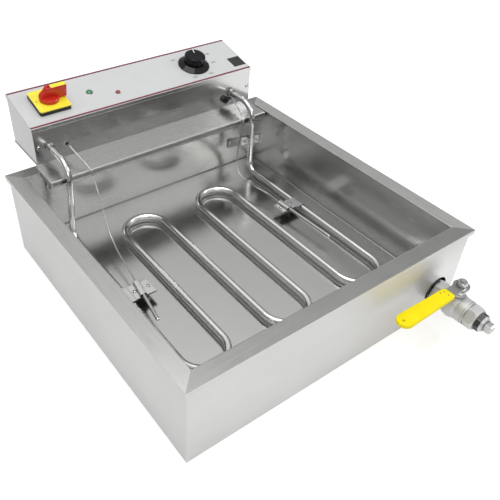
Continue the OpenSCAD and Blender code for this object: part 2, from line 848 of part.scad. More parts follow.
// A riser runs out of its fitting, bends down and bends forward again, leaning by an angle
module riser(entry_x, lean) {
    span = (entry_z - leg_z) / cos(lean);
    top_y = riser_y + top_bend_r;
    low_y = riser_y - low_bend_r;
    translate([entry_x, 0, entry_z]) rotate([0, lean, 0]) {
        translate([0, top_y, 0]) rotate([-90, 0, 0]) cylinder(h = head_y0 + 25 - top_y, r = tube_r);
        translate([0, top_y, -top_bend_r]) rotate([90, 0, 90]) rotate(90)
            rotate_extrude(angle = 90) translate([top_bend_r, 0]) circle(tube_r);
        translate([0, riser_y, low_bend_r - span]) cylinder(h = span - low_bend_r - top_bend_r, r = tube_r);
        translate([0, low_y, low_bend_r - span]) rotate([90, 0, 90]) rotate(-90)
            rotate_extrude(angle = 90) translate([low_bend_r, 0]) circle(tube_r);
    }
}

module serpentine(low_y) {
    xs = [-left_leg_x, -1.5 * leg_pitch, -0.5 * leg_pitch, 0.5 * leg_pitch, 1.5 * leg_pitch, leg_end_x];
    for (x = [xs[0], xs[5]]) leg(x, -front_bend_y, low_y);
    for (i = [1:4]) leg(xs[i], -front_bend_y, rear_bend_y);
    for (i = [0, 2, 4]) flat_bend(xs[i], xs[i + 1], -front_bend_y, 180);
    for (i = [1, 3]) flat_bend(xs[i], xs[i + 1], rear_bend_y, 0);
}

module heating_element() {
    low_y = riser_y - low_bend_r;
    color("silver") {
        union() serpentine(low_y);
        riser(-left_entry, asin(lean_sine));
        riser(right_entry, 0);
        for (x = [-left_leg_x, leg_end_x]) translate([x, low_y - 2, leg_z]) rotate([-90, 0, 0])
            cylinder(h = 4, r = tube_r + joint_swell);
    }
}

module heater_pins() {
    color("gray") for (x = [-left_entry, right_entry]) translate([x, head_y0 + 25, entry_z])
        rotate([-90, 0, 0]) {
            cylinder(h = 4, r = tube_r - 1);
            cylinder(h = 22, r = 2);
        }
}

module entry_fittings() {
    color("silver") for (x = [-left_entry, right_entry]) on_front(x, entry_z) difference() {
        union() {
            translate([0, 0, -10]) cylinder(h = 11, r = fitting_r);
            cylinder(h = 1.2, r = gland_af / 2 + 1);
            translate([0, 0, 1.2]) hex_nut(gland_af, 7);
            translate([0, 0, 8]) cylinder(h = 5, r = tube_r + 1.6);
            translate([0, 0, 9.6]) cylinder(h = 1.4, r = tube_r + 2.4);
        }
        translate([0, 0, -12]) cylinder(h = 40, r = tube_r + fit);
    }
}

module entry_nuts() {
    color("silver") for (x = [-left_entry, right_entry]) on_front(x, entry_z, -head_t - 5) difference() {
        linear_extrude(5) hexagon(2 * fitting_r + 5);
        translate([0, 0, -cut]) cylinder(h = 8, r = fitting_r + fit);
    }
}

module capillary_grommets() {
    color("black") for (p = [left_capillary_at, right_capillary_at]) on_front(p[0], p[1]) difference() {
        union() {
            translate([0, 0, -head_t]) cylinder(h = 2 * head_t, r = capillary_r + 1);
            translate([0, 0, 0]) cylinder(h = 1.2, r = capillary_r + 2);
        }
        translate([0, 0, -5]) cylinder(h = 10, r = capillary_r + rest);
    }
}

// Sensing bulbs lie on the clamps, beside the outer legs

module bulb(at, turn, len) {
    translate([at[0], at[1], bulb_z]) rotate([0, 0, -turn]) rotate([90, 0, 0]) {
        translate([0, 0, 3]) cylinder(h = len - 3 - bulb_r, r = bulb_r);
        cylinder(h = 3, r1 = capillary_r + 0.4, r2 = bulb_r);
        translate([0, 0, len - bulb_r]) sphere(r = bulb_r);
    }
}

module thermostat_bulb() {
    color("silver") bulb(left_bulb_at, left_bulb_turn, left_bulb_len);
}

module limit_bulb() {
    color("silver") bulb(right_bulb_at, right_bulb_turn, right_bulb_len);
}

// Capillaries follow a smooth line through hand-chosen points, from the head to the bulb

function spline(a, b, c, d, t) = 0.5 * (2 * b + (c - a) * t + (2 * a - 5 * b + 4 * c - d) * t * t
    + (3 * b - a - 3 * c + d) * t * t * t);
function smooth_line(p, n) = concat([for (i = [1:len(p) - 3], k = [0:n - 1])
    spline(p[i - 1], p[i], p[i + 1], p[i + 2], k / n)], [p[len(p) - 2]]);
function unit(v) = v / norm(v);
function ring_at(p, t, r, n) =
    let (a = unit(cross(t, [1, 0, 0])), b = cross(t, a))
    [for (k = [0:n - 1]) p + r * (cos(360 * k / n) * a + sin(360 * k / n) * b)];

module swept_tube(path, r, sides) {
    last = len(path) - 1;
    tangents = [for (i = [0:last]) unit(path[min(i + 1, last)] - path[max(i - 1, 0)])];
    points = [for (i = [0:last], q = ring_at(path[i], tangents[i], r, sides)) q];
    walls = [for (i = [0:last - 1], k = [0:sides - 1]) let (m = (k + 1) % sides)
        each [[i * sides + k, i * sides + m, (i + 1) * sides + m],
            [i * sides + k, (i + 1) * sides + m, (i + 1) * sides + k]]];
    near_cap = [for (k = [sides - 1:-1:0]) k];
    far_cap = [for (k = [0:sides - 1]) last * sides + k];
    polyhedron(points, concat(walls, [near_cap, far_cap]));
}

// The line to a bulb ends along the bulb's own axis
function bulb_tail(at, turn, s) = [at[0] + s * sin(turn), at[1] + s * cos(turn), bulb_z];

inside_y = head_y0 + 20;

module thermostat_capillary() {
    x = left_capillary_at[0];
    z = left_capillary_at[1];
    front = plate_front;
    path = [[x, inside_y + 10, z], [x, inside_y, z], [x, head_y0 + 3, z], [x, head_y0 - 4, z],
        [x, head_y0 - 12, z], [x + 4, front + 32, plate_top + 16], [x + 8, front + 9, plate_top + 8],
        [x + 9.5, front - 4, plate_top + 1],
        [x + 10, front - 11, plate_top - 12], [x + 6, front - 40, 130], [x + 3, front - 62, 98],
        [x - 1, front - 84, 78], [x - 8, front - 128, 65], bulb_tail(left_bulb_at, left_bulb_turn, 30),
        bulb_tail(left_bulb_at, left_bulb_turn, 0.2), bulb_tail(left_bulb_at, left_bulb_turn, -10)];
    color("silver") swept_tube(smooth_line(path, 5), capillary_r, 8);
}

module limit_capillary() {
    x = right_capillary_at[0];
    z = right_capillary_at[1];
    front = plate_front;
    path = [[x, inside_y + 10, z], [x, inside_y, z], [x, head_y0 + 3, z], [x, head_y0 - 4, z],
        [x, head_y0 - 12, z], [x - 8, front + 30, plate_top + 12], [x - 15, front + 9, plate_top + 8],
        [x - 19, front - 4, plate_top + 1],
        [x - 23, front - 9, plate_top - 13], [x - 31, front - 12, 138], [x - 42, front - 19, 104],
        [x - 50, front - 32, 78], [x - 52, front - 54, 67], [x - 47, front - 96, 63],
        bulb_tail(right_bulb_at, right_bulb_turn, 30), bulb_tail(right_bulb_at, right_bulb_turn, 0.2),
        bulb_tail(right_bulb_at, right_bulb_turn, -10)];
    color("silver") swept_tube(smooth_line(path, 5), capillary_r, 8);
}

// Clamps: a sheet that hooks round the outer leg, and a ridged cover that holds the bulb

left_clamp_y = 3;
right_clamp_y = 50.5;
left_clamp_x = left_bulb_at[0] - (left_bulb_at[1] - left_clamp_y) * tan(left_bulb_turn);
right_clamp_x = right_bulb_at[0] - (right_bulb_at[1] - right_clamp_y) * tan(right_bulb_turn);
left_wing = 24;
right_wing = 16;
left_clamp_len = 38;
right_clamp_len = 31;

module clamp_sheet(leg_x, far_x, y, len) {
    s = sign(leg_x);
    x0 = min(leg_x + s, far_x);
    x1 = max(leg_x + s, far_x);
    box([x0, y - len / 2, clamp_z], [x1, y + len / 2, clamp_z + clamp_t]);
    translate([leg_x, y + len / 2, leg_z]) rotate([90, 0, 0]) difference() {
        cylinder(h = len, r = tube_r + fit + clamp_t);
        translate([0, 0, -cut]) cylinder(h = len + 2 * cut, r = tube_r + fit);
        translate([s > 0 ? -2 * tube_r : 0, -2 * tube_r, -cut]) cube([2 * tube_r, 4 * tube_r, len + 2 * cut]);
        translate([-2 * tube_r, -3 * tube_r, -cut]) cube([4 * tube_r, 3 * tube_r - 2, len + 2 * cut]);
    }
}

module screw_holes(xs, y) {
    for (x = xs) translate([x, y, clamp_z - 5]) cylinder(h = 20, r = 2 + fit);
}

left_screws = [left_clamp_x - 11, left_clamp_x + 17];
right_screws = [right_clamp_x - 10, right_clamp_x + 16];

module left_clamp() {
    color("silver") difference() {
        clamp_sheet(-left_leg_x, left_clamp_x + left_wing, left_clamp_y, left_clamp_len);
        screw_holes(left_screws, left_clamp_y);
    }
}

module right_clamp() {
    color("silver") difference() {
        clamp_sheet(leg_end_x, right_clamp_x - right_wing, right_clamp_y, right_clamp_len);
        screw_holes(right_screws, right_clamp_y);
    }
}

module cover(x, y, turn, x0, x1, len) {
    z0 = clamp_z + clamp_t;
    difference() {
        union() {
            box([x0, y - len / 2, z0], [x1, y + len / 2, z0 + clamp_t]);
            translate([x, y, bulb_z]) rotate([0, 0, -turn]) rotate([90, 0, 0])
                cylinder(h = len, r = bulb_r + fit + clamp_t, center = true);
        }
        translate([x, y, bulb_z]) rotate([0, 0, -turn]) rotate([90, 0, 0])
            cylinder(h = 2 * len, r = bulb_r + fit, center = true);
        translate([x, y, bulb_z - 2 * bulb_r]) rotate([0, 0, -turn])
            cube([2 * (bulb_r + fit), 2 * len, 4 * bulb_r], center = true);
        box([x - 50, y - 50, z0 - 20], [x + 50, y + 50, z0]);
    }
}

module clamp_covers() {
    color("silver") {
        difference() {
            cover(left_clamp_x, left_clamp_y, left_bulb_turn,
                left_clamp_x - 17, left_clamp_x + left_wing, 30);
            screw_holes(left_screws, left_clamp_y);
        }
        difference() {
            cover(right_clamp_x, right_clamp_y, right_bulb_turn,
                right_clamp_x - right_wing, right_clamp_x + 22, 26);
            screw_holes(right_screws, right_clamp_y);
        }
    }
}

// Bracket that ties the right riser, with a strap screwed round the tube

bracket_turn = -15;
bracket_z = 110;
bracket_h = 22;
bracket_holes = [-49, -14, 15];

module at_riser(z) {
    translate([right_entry, riser_y, z]) rotate([0, 0, bracket_turn]) children();
}

module riser_bracket() {
    y0 = tube_r + rest;
    color("silver") at_riser(bracket_z) difference() {
        box([-56, y0, 0], [28, y0 + clamp_t + 0.3, bracket_h]);
        for (x = bracket_holes) translate([x, y0, bracket_h / 2]) rotate([90, 0, 0])
            cylinder(h = 10, r = 2 + fit, center = true);
    }
}

module riser_strap() {
    y0 = tube_r + rest;
    r0 = tube_r + rest;
    r1 = r0 + clamp_t;
    color("silver") at_riser(bracket_z + 2) difference() {
        linear_extrude(bracket_h - 4) difference() {
            union() {
                circle(r1);
                translate([-r1, 0]) square([2 * r1, y0]);
                translate([-21, y0 - clamp_t]) square([42, clamp_t]);
            }
            circle(r0);
            translate([-r0, 0]) square([2 * r0, r1 + 1]);
        }
        for (x = [bracket_holes[1], bracket_holes[2]])
            translate([x, y0, bracket_h / 2 - 2]) rotate([90, 0, 0])
                cylinder(h = 10, r = 2 + fit, center = true);
    }
}

// Screws through the clamps and the bracket, with their nuts

module screw(grip, head_h) {
    cylinder(h = head_h, r = 3.6);
    translate([0, 0, -grip - 4]) cylinder(h = grip + 4, r = 2);
    translate([0, 0, -grip - 3]) difference() {
        linear_extrude(3) hexagon(7);
        translate([0, 0, -cut]) cylinder(h = 5, r = 2 - fit);
    }
}

module clamp_screws() {
    color("silver") {
        for (x = left_screws) translate([x, left_clamp_y, clamp_z + 2 * clamp_t]) screw(2 * clamp_t, 2.4);
        for (x = right_screws) translate([x, right_clamp_y, clamp_z + 2 * clamp_t]) screw(2 * clamp_t, 2.4);
        at_riser(bracket_z + bracket_h / 2) {
            translate([bracket_holes[0], tube_r + rest, 0]) rotate([90, 0, 0]) screw(clamp_t + 0.3, 2.4);
            for (x = [bracket_holes[1], bracket_holes[2]])
                translate([x, tube_r + rest - clamp_t, 0]) rotate([90, 0, 0]) screw(2 * clamp_t + 0.3, 2.4);
        }
    }
}

outer_casing();
inner_tank();
bottom_pan();
drain_coupling();
drain_nipple();
valve_body();
valve_end();
valve_seats();
packing_nut();
reducing_bushing();
drain_plug();
valve_ball();
valve_stem();
valve_lever();
lever_sleeve();
lever_nut();
base_plate();
hook_plate();
head_housing();
panel_lid();
panel_overlay();
housing_screws();
switch_base();
switch_plate();
switch_contacts();
switch_handle();
handle_strip();
lamp_bezels();
green_lamp();
red_lamp();
thermostat_body();
thermostat_shaft();
control_knob();
knob_skirt();
limit_switch();
reset_collar();
reset_button();
contactor();
terminal_block();
heating_element();
heater_pins();
entry_fittings();
entry_nuts();
capillary_grommets();
thermostat_bulb();
thermostat_capillary();
limit_bulb();
limit_capillary();
left_clamp();
right_clamp();
clamp_covers();
riser_bracket();
riser_strap();
clamp_screws();
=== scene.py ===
"""Looks for a countertop funnel cake fryer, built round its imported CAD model.
The scene is in metres. What is in millimetres says so or is multiplied by MM."""

import math

import bmesh
import bpy
from mathutils import Matrix, Vector


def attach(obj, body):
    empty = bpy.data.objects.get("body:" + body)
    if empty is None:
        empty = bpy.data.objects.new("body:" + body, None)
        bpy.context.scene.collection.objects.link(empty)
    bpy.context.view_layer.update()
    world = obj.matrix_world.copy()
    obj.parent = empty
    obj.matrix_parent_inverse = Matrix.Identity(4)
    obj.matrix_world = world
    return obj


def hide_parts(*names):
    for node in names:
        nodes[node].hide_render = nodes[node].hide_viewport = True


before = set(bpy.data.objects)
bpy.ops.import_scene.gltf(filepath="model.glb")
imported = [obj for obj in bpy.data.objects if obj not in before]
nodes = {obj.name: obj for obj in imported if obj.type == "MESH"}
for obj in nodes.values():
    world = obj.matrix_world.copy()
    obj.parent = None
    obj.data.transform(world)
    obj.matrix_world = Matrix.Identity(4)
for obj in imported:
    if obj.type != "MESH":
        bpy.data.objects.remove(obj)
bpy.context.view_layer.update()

MM = 0.001

# The tank and the head, as the CAD has them. The heater's flat part lies below FLAT_HEATER_Z.
RIM_Z = 174 * MM
WELL_HALF = 276.5 * MM
RIM_INSIDE = 280 * MM
HEM_INSIDE = 303 * MM
FLAT_HEATER_Z = 70 * MM
DRAIN_AT = (248.5 * MM, -300 * MM, 56 * MM)
PORT_RADIUS = 12.5 * MM
BUSHING_NOSE_Y = DRAIN_AT[1] - 103.5 * MM
HEAD_Y = 301.4 * MM
HEAD_DEPTH = 112.4 * MM
HEAD_X0 = -241.5 * MM
HEAD_X1 = 279.5 * MM
PANEL_Z = 252.9 * MM
PANEL_TILT = math.radians(13.3)
PANEL_LENGTH = HEAD_DEPTH / math.cos(PANEL_TILT)
SWITCH_AT = (-177 * MM, 58 * MM)
KNOB_AT = (161.2 * MM, 56.3 * MM)
SWITCH_TOP = 10 * MM

# The bulbs and their clamps: each bulb's middle in plan in millimetres, and how far it is turned in degrees
LEFT_BULB = (-193, 23)
LEFT_TURN = 9.4
RIGHT_BULB = (186, 70)
RIGHT_TURN = -2.3
CLAMP_TOP = 57.7 * MM
SHEET = 1.2 * MM


def link(name, data):
    """A new object in the scene that holds some data."""
    made = bpy.data.objects.new(name, data)
    bpy.context.scene.collection.objects.link(made)
    return made


# Camera, at the photograph's angle

FOCAL_PIXELS = 618.078
PICTURE_PIXELS = 500


def place_camera():
    eye = Vector((-0.5753, -0.7128, 0.8290))
    azimuth = math.radians(37.5766)
    elevation = math.radians(39.778)
    roll = math.radians(2.2308)
    forward = Vector((math.sin(azimuth) * math.cos(elevation), math.cos(azimuth) * math.cos(elevation),
                      -math.sin(elevation)))
    level = Vector((math.cos(azimuth), -math.sin(azimuth), 0))
    upright = level.cross(forward)
    right = level * math.cos(roll) + upright * math.sin(roll)
    up = -level * math.sin(roll) + upright * math.cos(roll)
    data = bpy.data.cameras.new("camera")
    data.sensor_width = 36
    data.lens = data.sensor_width * FOCAL_PIXELS / PICTURE_PIXELS
    data.shift_x = 0.0646
    data.shift_y = -0.0067
    data.clip_start = 0.01
    camera = link("camera", data)
    turn = Matrix((right, up, -forward)).transposed().to_4x4()
    camera.matrix_world = Matrix.Translation(eye) @ turn
    bpy.context.scene.camera = camera


place_camera()


# Shader building

class Shader:
    """One material and short calls that add nodes to it."""

    def __init__(self, name, metallic=0.0, roughness=0.4, colour=(0.8, 0.8, 0.8)):
        self.material = bpy.data.materials.new(name)
        self.material.use_nodes = True
        self.tree = self.material.node_tree
        self.surface = self.tree.nodes["Principled BSDF"]
        self.set("Metallic", metallic)
        self.set("Roughness", roughness)
        self.set("Base Color", (*colour, 1))
        self.material.diffuse_color = (*colour, 1)
        self.place = self.add("ShaderNodeTexCoord").outputs["Object"]

    def add(self, kind, inputs=None, **settings):
        made = self.tree.nodes.new(kind)
        for key, value in settings.items():
            setattr(made, key, value)
        for key, value in (inputs or {}).items():
            self.plug(made.inputs[key], value)
        return made

    def plug(self, socket, value):
        if isinstance(value, bpy.types.NodeSocket):
            self.tree.links.new(value, socket)
        else:
            socket.default_value = value

    def set(self, name, value):
        self.plug(self.surface.inputs[name], value)

    def maths(self, operation, a, b=0.0):
        return self.add("ShaderNodeMath", {0: a, 1: b}, operation=operation).outputs[0]

    def above(self, value, limit):
        """1 where the value is above the limit, 0 elsewhere."""
        return self.maths("GREATER_THAN", value, limit)

    def below(self, value, limit):
        return self.maths("LESS_THAN", value, limit)

    def product(self, *factors):
        result = factors[0]
        for factor in factors[1:]:
            result = self.maths("MULTIPLY", result, factor)
        return result

    def stretched(self, scale):
        """The object's own coordinates, scaled by a different amount along each axis."""
        made = self.add("ShaderNodeVectorMath", {0: self.place, 1: scale}, operation="MULTIPLY")
        return made.outputs[0]

    def noise(self, vector, scale, detail, rough):
        made = self.add("ShaderNodeTexNoise", {"Vector": vector, "Scale": scale, "Detail": detail,
                                               "Roughness": rough})
        return made.outputs["Fac"]

    def spread(self, value, low, high, start=0.3, end=0.7):
        """Maps start..end of a texture to low..high."""
        made = self.add("ShaderNodeMapRange", {"Value": value, "From Min": start, "From Max": end,
                                               "To Min": low, "To Max": high})
        return made.outputs["Result"]

    def mix(self, share, a, b):
        """A number that goes from a to b as the share goes from 0 to 1."""
        made = self.add("ShaderNodeMix", {0: share, 2: a, 3: b}, data_type="FLOAT")
        return made.outputs[0]

    def tint(self, share, a, b):
        """A colour that goes from a to b. Each is three numbers or another node's colour."""
        a, b = (c if isinstance(c, bpy.types.NodeSocket) else (*c, 1) for c in (a, b))
        return self.add("ShaderNodeMix", {0: share, 6: a, 7: b}, data_type="RGBA").outputs[2]

    def position(self):
        """The place on the object along each axis."""
        return self.add("ShaderNodeSeparateXYZ", {0: self.place}).outputs

    def facing(self):
        """The true normal's size along each of the object's axes."""
        geometry = self.add("ShaderNodeNewGeometry").outputs["True Normal"]
        local = self.add("ShaderNodeVectorTransform", {0: geometry}, vector_type="NORMAL",
                         convert_from="WORLD", convert_to="OBJECT").outputs[0]
        size = self.add("ShaderNodeVectorMath", {0: local}, operation="ABSOLUTE").outputs[0]
        return self.add("ShaderNodeSeparateXYZ", {0: size}).outputs

    def edges(self, radius, low=0.8, high=0.985):
        """1 along the edges of the sheet, 0 on its faces."""
        normal = self.add("ShaderNodeNewGeometry").outputs["Normal"]
        made = self.add("ShaderNodeVectorMath", {0: self.rounded(radius), 1: normal}, operation="DOT_PRODUCT")
        return self.spread(made.outputs["Value"], 1.0, 0.0, low, high)

    def shelter(self, distance, least, start=0.25, end=0.85, alone=False):
        """A share of painted shade that falls to least where other faces, or only the object's own, stand
        close by.
        """
        made = self.add("ShaderNodeAmbientOcclusion", {"Distance": distance}, samples=6, only_local=alone)
        return self.spread(made.outputs["AO"], least, 1.0, start, end)

    def toward(self, axis, sign, kept, edge=0.0):
        """The kept share of painted shade on faces that look along an axis, 1 elsewhere. It reaches past them
        as far as edge says."""
        if edge:
            normal = self.rounded(edge)
            start, end = 0.12, 0.4
        else:
            normal = self.add("ShaderNodeNewGeometry").outputs["True Normal"]
            start, end = 0.5, 0.8
        part = self.product(self.add("ShaderNodeSeparateXYZ", {0: normal}).outputs[axis], sign)
        return self.spread(part, 1.0, kept, start, end)

    def darker(self, colour, share):
        """A colour with its brightness multiplied by a share."""
        made = self.add("ShaderNodeVectorMath", {0: colour, "Scale": share}, operation="SCALE")
        return made.outputs[0]

    def bump(self, height, distance, strength, soft_edge=0.0, lean=0.0):
        """Fine relief over a normal that is rounded off at the edges and may lean back."""
        inputs = {"Height": height, "Distance": distance, "Strength": strength}
        if soft_edge:
            normal = self.rounded(soft_edge)
            inputs["Normal"] = self.leaning(normal, lean) if lean else normal
        self.set("Normal", self.add("ShaderNodeBump", inputs).outputs[0])

    def leaning(self, normal, amount):
        """A normal tipped upward where the face is an upright front."""
        upright = self.above(self.facing()[1], 0.9)
        lift = self.add("ShaderNodeCombineXYZ", {2: self.product(upright, amount)}).outputs[0]
        made = self.add("ShaderNodeVectorMath", {0: normal, 1: lift}, operation="ADD").outputs[0]
        return self.add("ShaderNodeVectorMath", {0: made}, operation="NORMALIZE").outputs[0]

    def rounded(self, radius):
        """The normal as it would be if the edges had this radius."""
        return self.add("ShaderNodeBevel", {"Radius": radius}, samples=4).outputs[0]


def grey(level):
    """The colour of clean steel, a touch warmer than grey."""
    return level, level, level - 0.005


STEEL = (0.66, 0.66, 0.65)
STEEL_DARK = (0.58, 0.58, 0.57)
GRAIN_DEPTH = 0.02 * MM
SIDE_FACE = 0.6
# Colour of the painted highlights along edges
EDGE_HIGHLIGHT_COLOUR = (0.96, 0.96, 0.96)


def brush_lines(shader):
    """Brush lines along X and brush lines along Y, each fine ones mixed with coarser ones."""
    fine, coarse, long = 3200, 700, 22
    along_x = shader.noise(shader.stretched((long, fine, fine)), 1, 2, 0.6)
    along_y = shader.noise(shader.stretched((fine, long, fine)), 1, 2, 0.6)
    wide_x = shader.noise(shader.stretched((long / 3, coarse, coarse)), 1, 2, 0.5)
    wide_y = shader.noise(shader.stretched((coarse, long / 3, coarse)), 1, 2, 0.5)
    return shader.mix(0.4, along_x, wide_x), shader.mix(0.4, along_y, wide_y)


def sheet_steel(name, roughness, shade, soft_edge=0.6, walls=False, smudge=0.08, lean=0.0, highlight_edge=0.0,
                shaded=(), polished=None):
    """Brushed sheet, brushed along X, or level round the walls. Soft edges, and highlight edges that carry a
    painted highlight, are in millimetres.
    Lean tips a front face's shading back, as a folded front stands a few degrees off upright.
    Shaded lists (axis, sign, share) for painted shade: faces that look that way keep only that share of their
    brightness.
    A fourth number there is how far from such a face its share still reaches.
    Polished is (place, near, far, roughness): the sheet is smoother round that place."""
    shader = Shader(name, metallic=1.0)
    if polished:
        place, near, far, least = polished
        away = shader.add("ShaderNodeVectorMath", {0: shader.place, 1: place}, operation="DISTANCE")
        roughness = shader.spread(away.outputs["Value"], least, roughness, near, far)
    grain, along_y = brush_lines(shader)
    if walls:
        side = shader.above(shader.facing()[0], SIDE_FACE)
        grain = shader.mix(side, grain, along_y)
    edge_highlight = shader.edges(highlight_edge * MM) if highlight_edge else None
    share = shader.product(1.0, *(shader.toward(*facing) for facing in shaded))
    brushed(shader, grain, roughness, smudge, shade, share, edge_highlight)
    shader.bump(grain, GRAIN_DEPTH, 0.5, soft_edge * MM, lean)
    return shader.material


def brushed(shader, grain, roughness, smudge, shade, share, edge_highlight):
    """Roughness and colour of brushed steel: grain, soft clouds, a few wiped streaks, painted shade and
    painted edge highlights.
    """
    cloud = shader.noise(shader.place, 9, 4, 0.55)
    wiped = shader.noise(shader.stretched((14, 14, 38)), 1, 5, 0.6)
    rough = shader.product(shader.spread(grain, 0.82, 1.2), roughness)
    rough = shader.maths("ADD", rough, shader.spread(cloud, -smudge / 2, smudge / 2))
    rough = shader.maths("ADD", rough, shader.spread(wiped, -smudge / 4, smudge / 3))
    light = tuple(min(1, c * 1.06) for c in shade)
    dark = tuple(c * 0.95 for c in shade)
    colour = shader.darker(shader.tint(shader.spread(grain, 0, 1, 0.25, 0.75), dark, light), share)
    if edge_highlight is not None:
        rough = shader.mix(edge_highlight, rough, 0.3)
        colour = shader.tint(edge_highlight, colour, EDGE_HIGHLIGHT_COLOUR)
    shader.set("Roughness", rough)
    shader.set("Base Color", colour)


def tank_steel(name):
    """The pressed tank: a smooth bright well inside a brushed rim whose lines are mitred at the corners."""
    shader = Shader(name, metallic=1.0)
    x, y, z = shader.position()
    away_x = shader.maths("ABSOLUTE", x)
    away_y = shader.maths("ABSOLUTE", y)
    outside = shader.maths("MAXIMUM", away_x, away_y)
    level = shader.facing()[2]

    rim = shader.above(z, RIM_Z - 1 * MM)
    sideways = shader.above(away_x, away_y)
    right = shader.above(x, 0.0)
    upright = shader.below(level, 0.6)
    bend = shader.product(shader.above(level, 0.1), shader.below(level, 0.97))
    hem = shader.above(outside, HEM_INSIDE)

    along_x, along_y = brush_lines(shader)
    wall = shader.above(shader.facing()[0], SIDE_FACE)
    grain = shader.mix(shader.mix(rim, wall, sideways), along_x, along_y)
    front_rim = shader.product(rim, shader.maths("SUBTRACT", 1.0, sideways))
    side_rim = shader.product(rim, sideways)
    # Painted shade: front and rear rim darker, right rim darker and left rim lighter, bends at half, creases
    # and the well's corners darker.
    share = shader.product(shader.mix(front_rim, 1.0, 0.67),
                           shader.mix(side_rim, 1.0, shader.mix(right, 0.93, 1.08)),
                           shader.mix(bend, 1.0, 0.5),
                           shader.shelter(7 * MM, 0.74),
                           shader.shelter(70 * MM, 0.42, 0.12, 0.46, alone=True))
    # Painted highlight along the right rim's inner edges.
    edge_highlight = shader.product(shader.edges(2.5 * MM), shader.below(outside, RIM_INSIDE), right,
                          shader.above(z, RIM_Z - 4 * MM))
    dull = shader.maths("MAXIMUM", bend, shader.product(hem, upright))
    smooth = shader.mix(dull, shader.mix(upright, 0.19, 0.22), 0.5)
    brushed(shader, grain, shader.mix(rim, smooth, 0.3), 0.08, STEEL, share, edge_highlight)
    shader.bump(grain, GRAIN_DEPTH, 0.5, 1.4 * MM)
    return shader.material


def plain_metal(name, roughness, shade, scale=1.0, depth=0.01, marks=0.06, crease=0.0):
    """Turned or drawn metal without a brush direction. Depth is in millimetres, as is crease, the width
    below which a crease gets painted shade."""
    shader = Shader(name, metallic=1.0)
    fine = shader.noise(shader.place, 1400 * scale, 3, 0.6)
    cloud = shader.noise(shader.place, 60 * scale, 4, 0.6)
    rough = shader.maths("ADD", shader.spread(fine, roughness * 0.85, roughness * 1.15),
                         shader.spread(cloud, -marks / 2, marks))
    shader.set("Roughness", rough)
    light = tuple(min(1, c * 1.05) for c in shade)
    dark = tuple(c * 0.9 for c in shade)
    colour = shader.tint(shader.spread(cloud, 0, 1, 0.2, 0.75), dark, light)
    if crease:
        colour = shader.darker(colour, shader.shelter(crease * MM, 0.12, 0.35, 0.95))
    shader.set("Base Color", colour)
    shader.bump(fine, depth * MM, 0.4, 0.3 * MM)
    return shader.material


def bushing_metal(name):
    """A turned bushing whose flats are painted dark as a painted dark reflection, between painted highlights
    on the edges, with a plain round nose.
    """
    shader = Shader(name, metallic=1.0)
    fine = shader.noise(shader.place, 1400, 3, 0.6)
    nose = shader.below(shader.position()[1], BUSHING_NOSE_Y)
    bright = shader.maths("MAXIMUM", nose, shader.edges(1.3 * MM, 0.86, 0.99))
    shader.set("Base Color", shader.tint(bright, (0.09, 0.09, 0.09), (0.62, 0.62, 0.615)))
    shader.set("Roughness", shader.spread(fine, 0.42, 0.54))
    shader.bump(fine, 0.01 * MM, 0.4, 0.4 * MM)
    return shader.material


def cast_metal(name, roughness, shade):
    """Blasted casting: fine pits and a soft uneven skin, with painted shade in its creases."""
    shader = Shader(name, metallic=1.0)
    pits = shader.noise(shader.place, 900, 4, 0.65)
    lumps = shader.noise(shader.place, 120, 3, 0.5)
    height = shader.maths("ADD", shader.product(lumps, 1.6), pits)
    shader.set("Roughness", shader.spread(pits, roughness * 0.8, roughness * 1.3))
    dark = tuple(c * 0.8 for c in shade)
    colour = shader.tint(shader.spread(pits, 0, 1, 0.25, 0.6), dark, shade)
    shader.set("Base Color", shader.darker(colour, shader.shelter(8 * MM, 0.25, 0.3, 0.92)))
    shader.bump(height, 0.06 * MM, 0.6, 0.6 * MM)
    return shader.material


def heater_metal(name):
    """Polished tube with faint draw lines and painted shade: dark lines along its lower flanks, darker right
    and rear sides.
    Its flat part is duller away from the top, and most of all in the front left corner, which is painted
    darker too."""
    shader = Shader(name, metallic=1.0)
    lines = shader.noise(shader.stretched((900, 40, 900)), 1, 3, 0.55)
    cloud = shader.noise(shader.place, 22, 4, 0.6)
    normal = shader.add("ShaderNodeNewGeometry").outputs["Normal"]
    across, along, upward = shader.add("ShaderNodeSeparateXYZ", {0: normal}).outputs
    right = shader.spread(across, 0.0, 0.75, 0.5, 0.76)
    rear = shader.spread(along, 0.0, 0.6, 0.2, 0.55)
    from_low_line = shader.maths("ABSOLUTE", shader.maths("ADD", upward, 0.42))
    low = shader.spread(from_low_line, 0.8, 0.0, 0.05, 0.4)
    painted_flank_shade = shader.maths("MAXIMUM", low, shader.maths("MAXIMUM", right, rear))
    sideways = shader.spread(upward, 1.0, 0.0, 0.3, 0.72)

    x, y, z = shader.position()
    flat = shader.below(z, FLAT_HEATER_Z)
    in_corner = shader.product(shader.below(x, -200 * MM), shader.below(y, -150 * MM))
    bright = shader.tint(shader.spread(cloud, 0, 1), (0.88, 0.88, 0.875), (0.94, 0.935, 0.925))
    # Painted shade: the flank lines, the upright part kept at 0.84 and the front left corner at half.
    share = shader.product(shader.maths("SUBTRACT", 1.0, painted_flank_shade), shader.mix(flat, 0.84, 1.0),
                           shader.mix(in_corner, 1.0, 0.5))
    shader.set("Base Color", shader.darker(bright, share))
    rough = shader.maths("ADD", shader.spread(lines, 0.14, 0.17), shader.spread(cloud, -0.02, 0.03))
    dull = shader.product(shader.maths("MAXIMUM", in_corner, sideways), flat)
    shader.set("Roughness", shader.mix(dull, rough, 0.42))
    shader.bump(lines, 0.004 * MM, 0.1)
    return shader.material


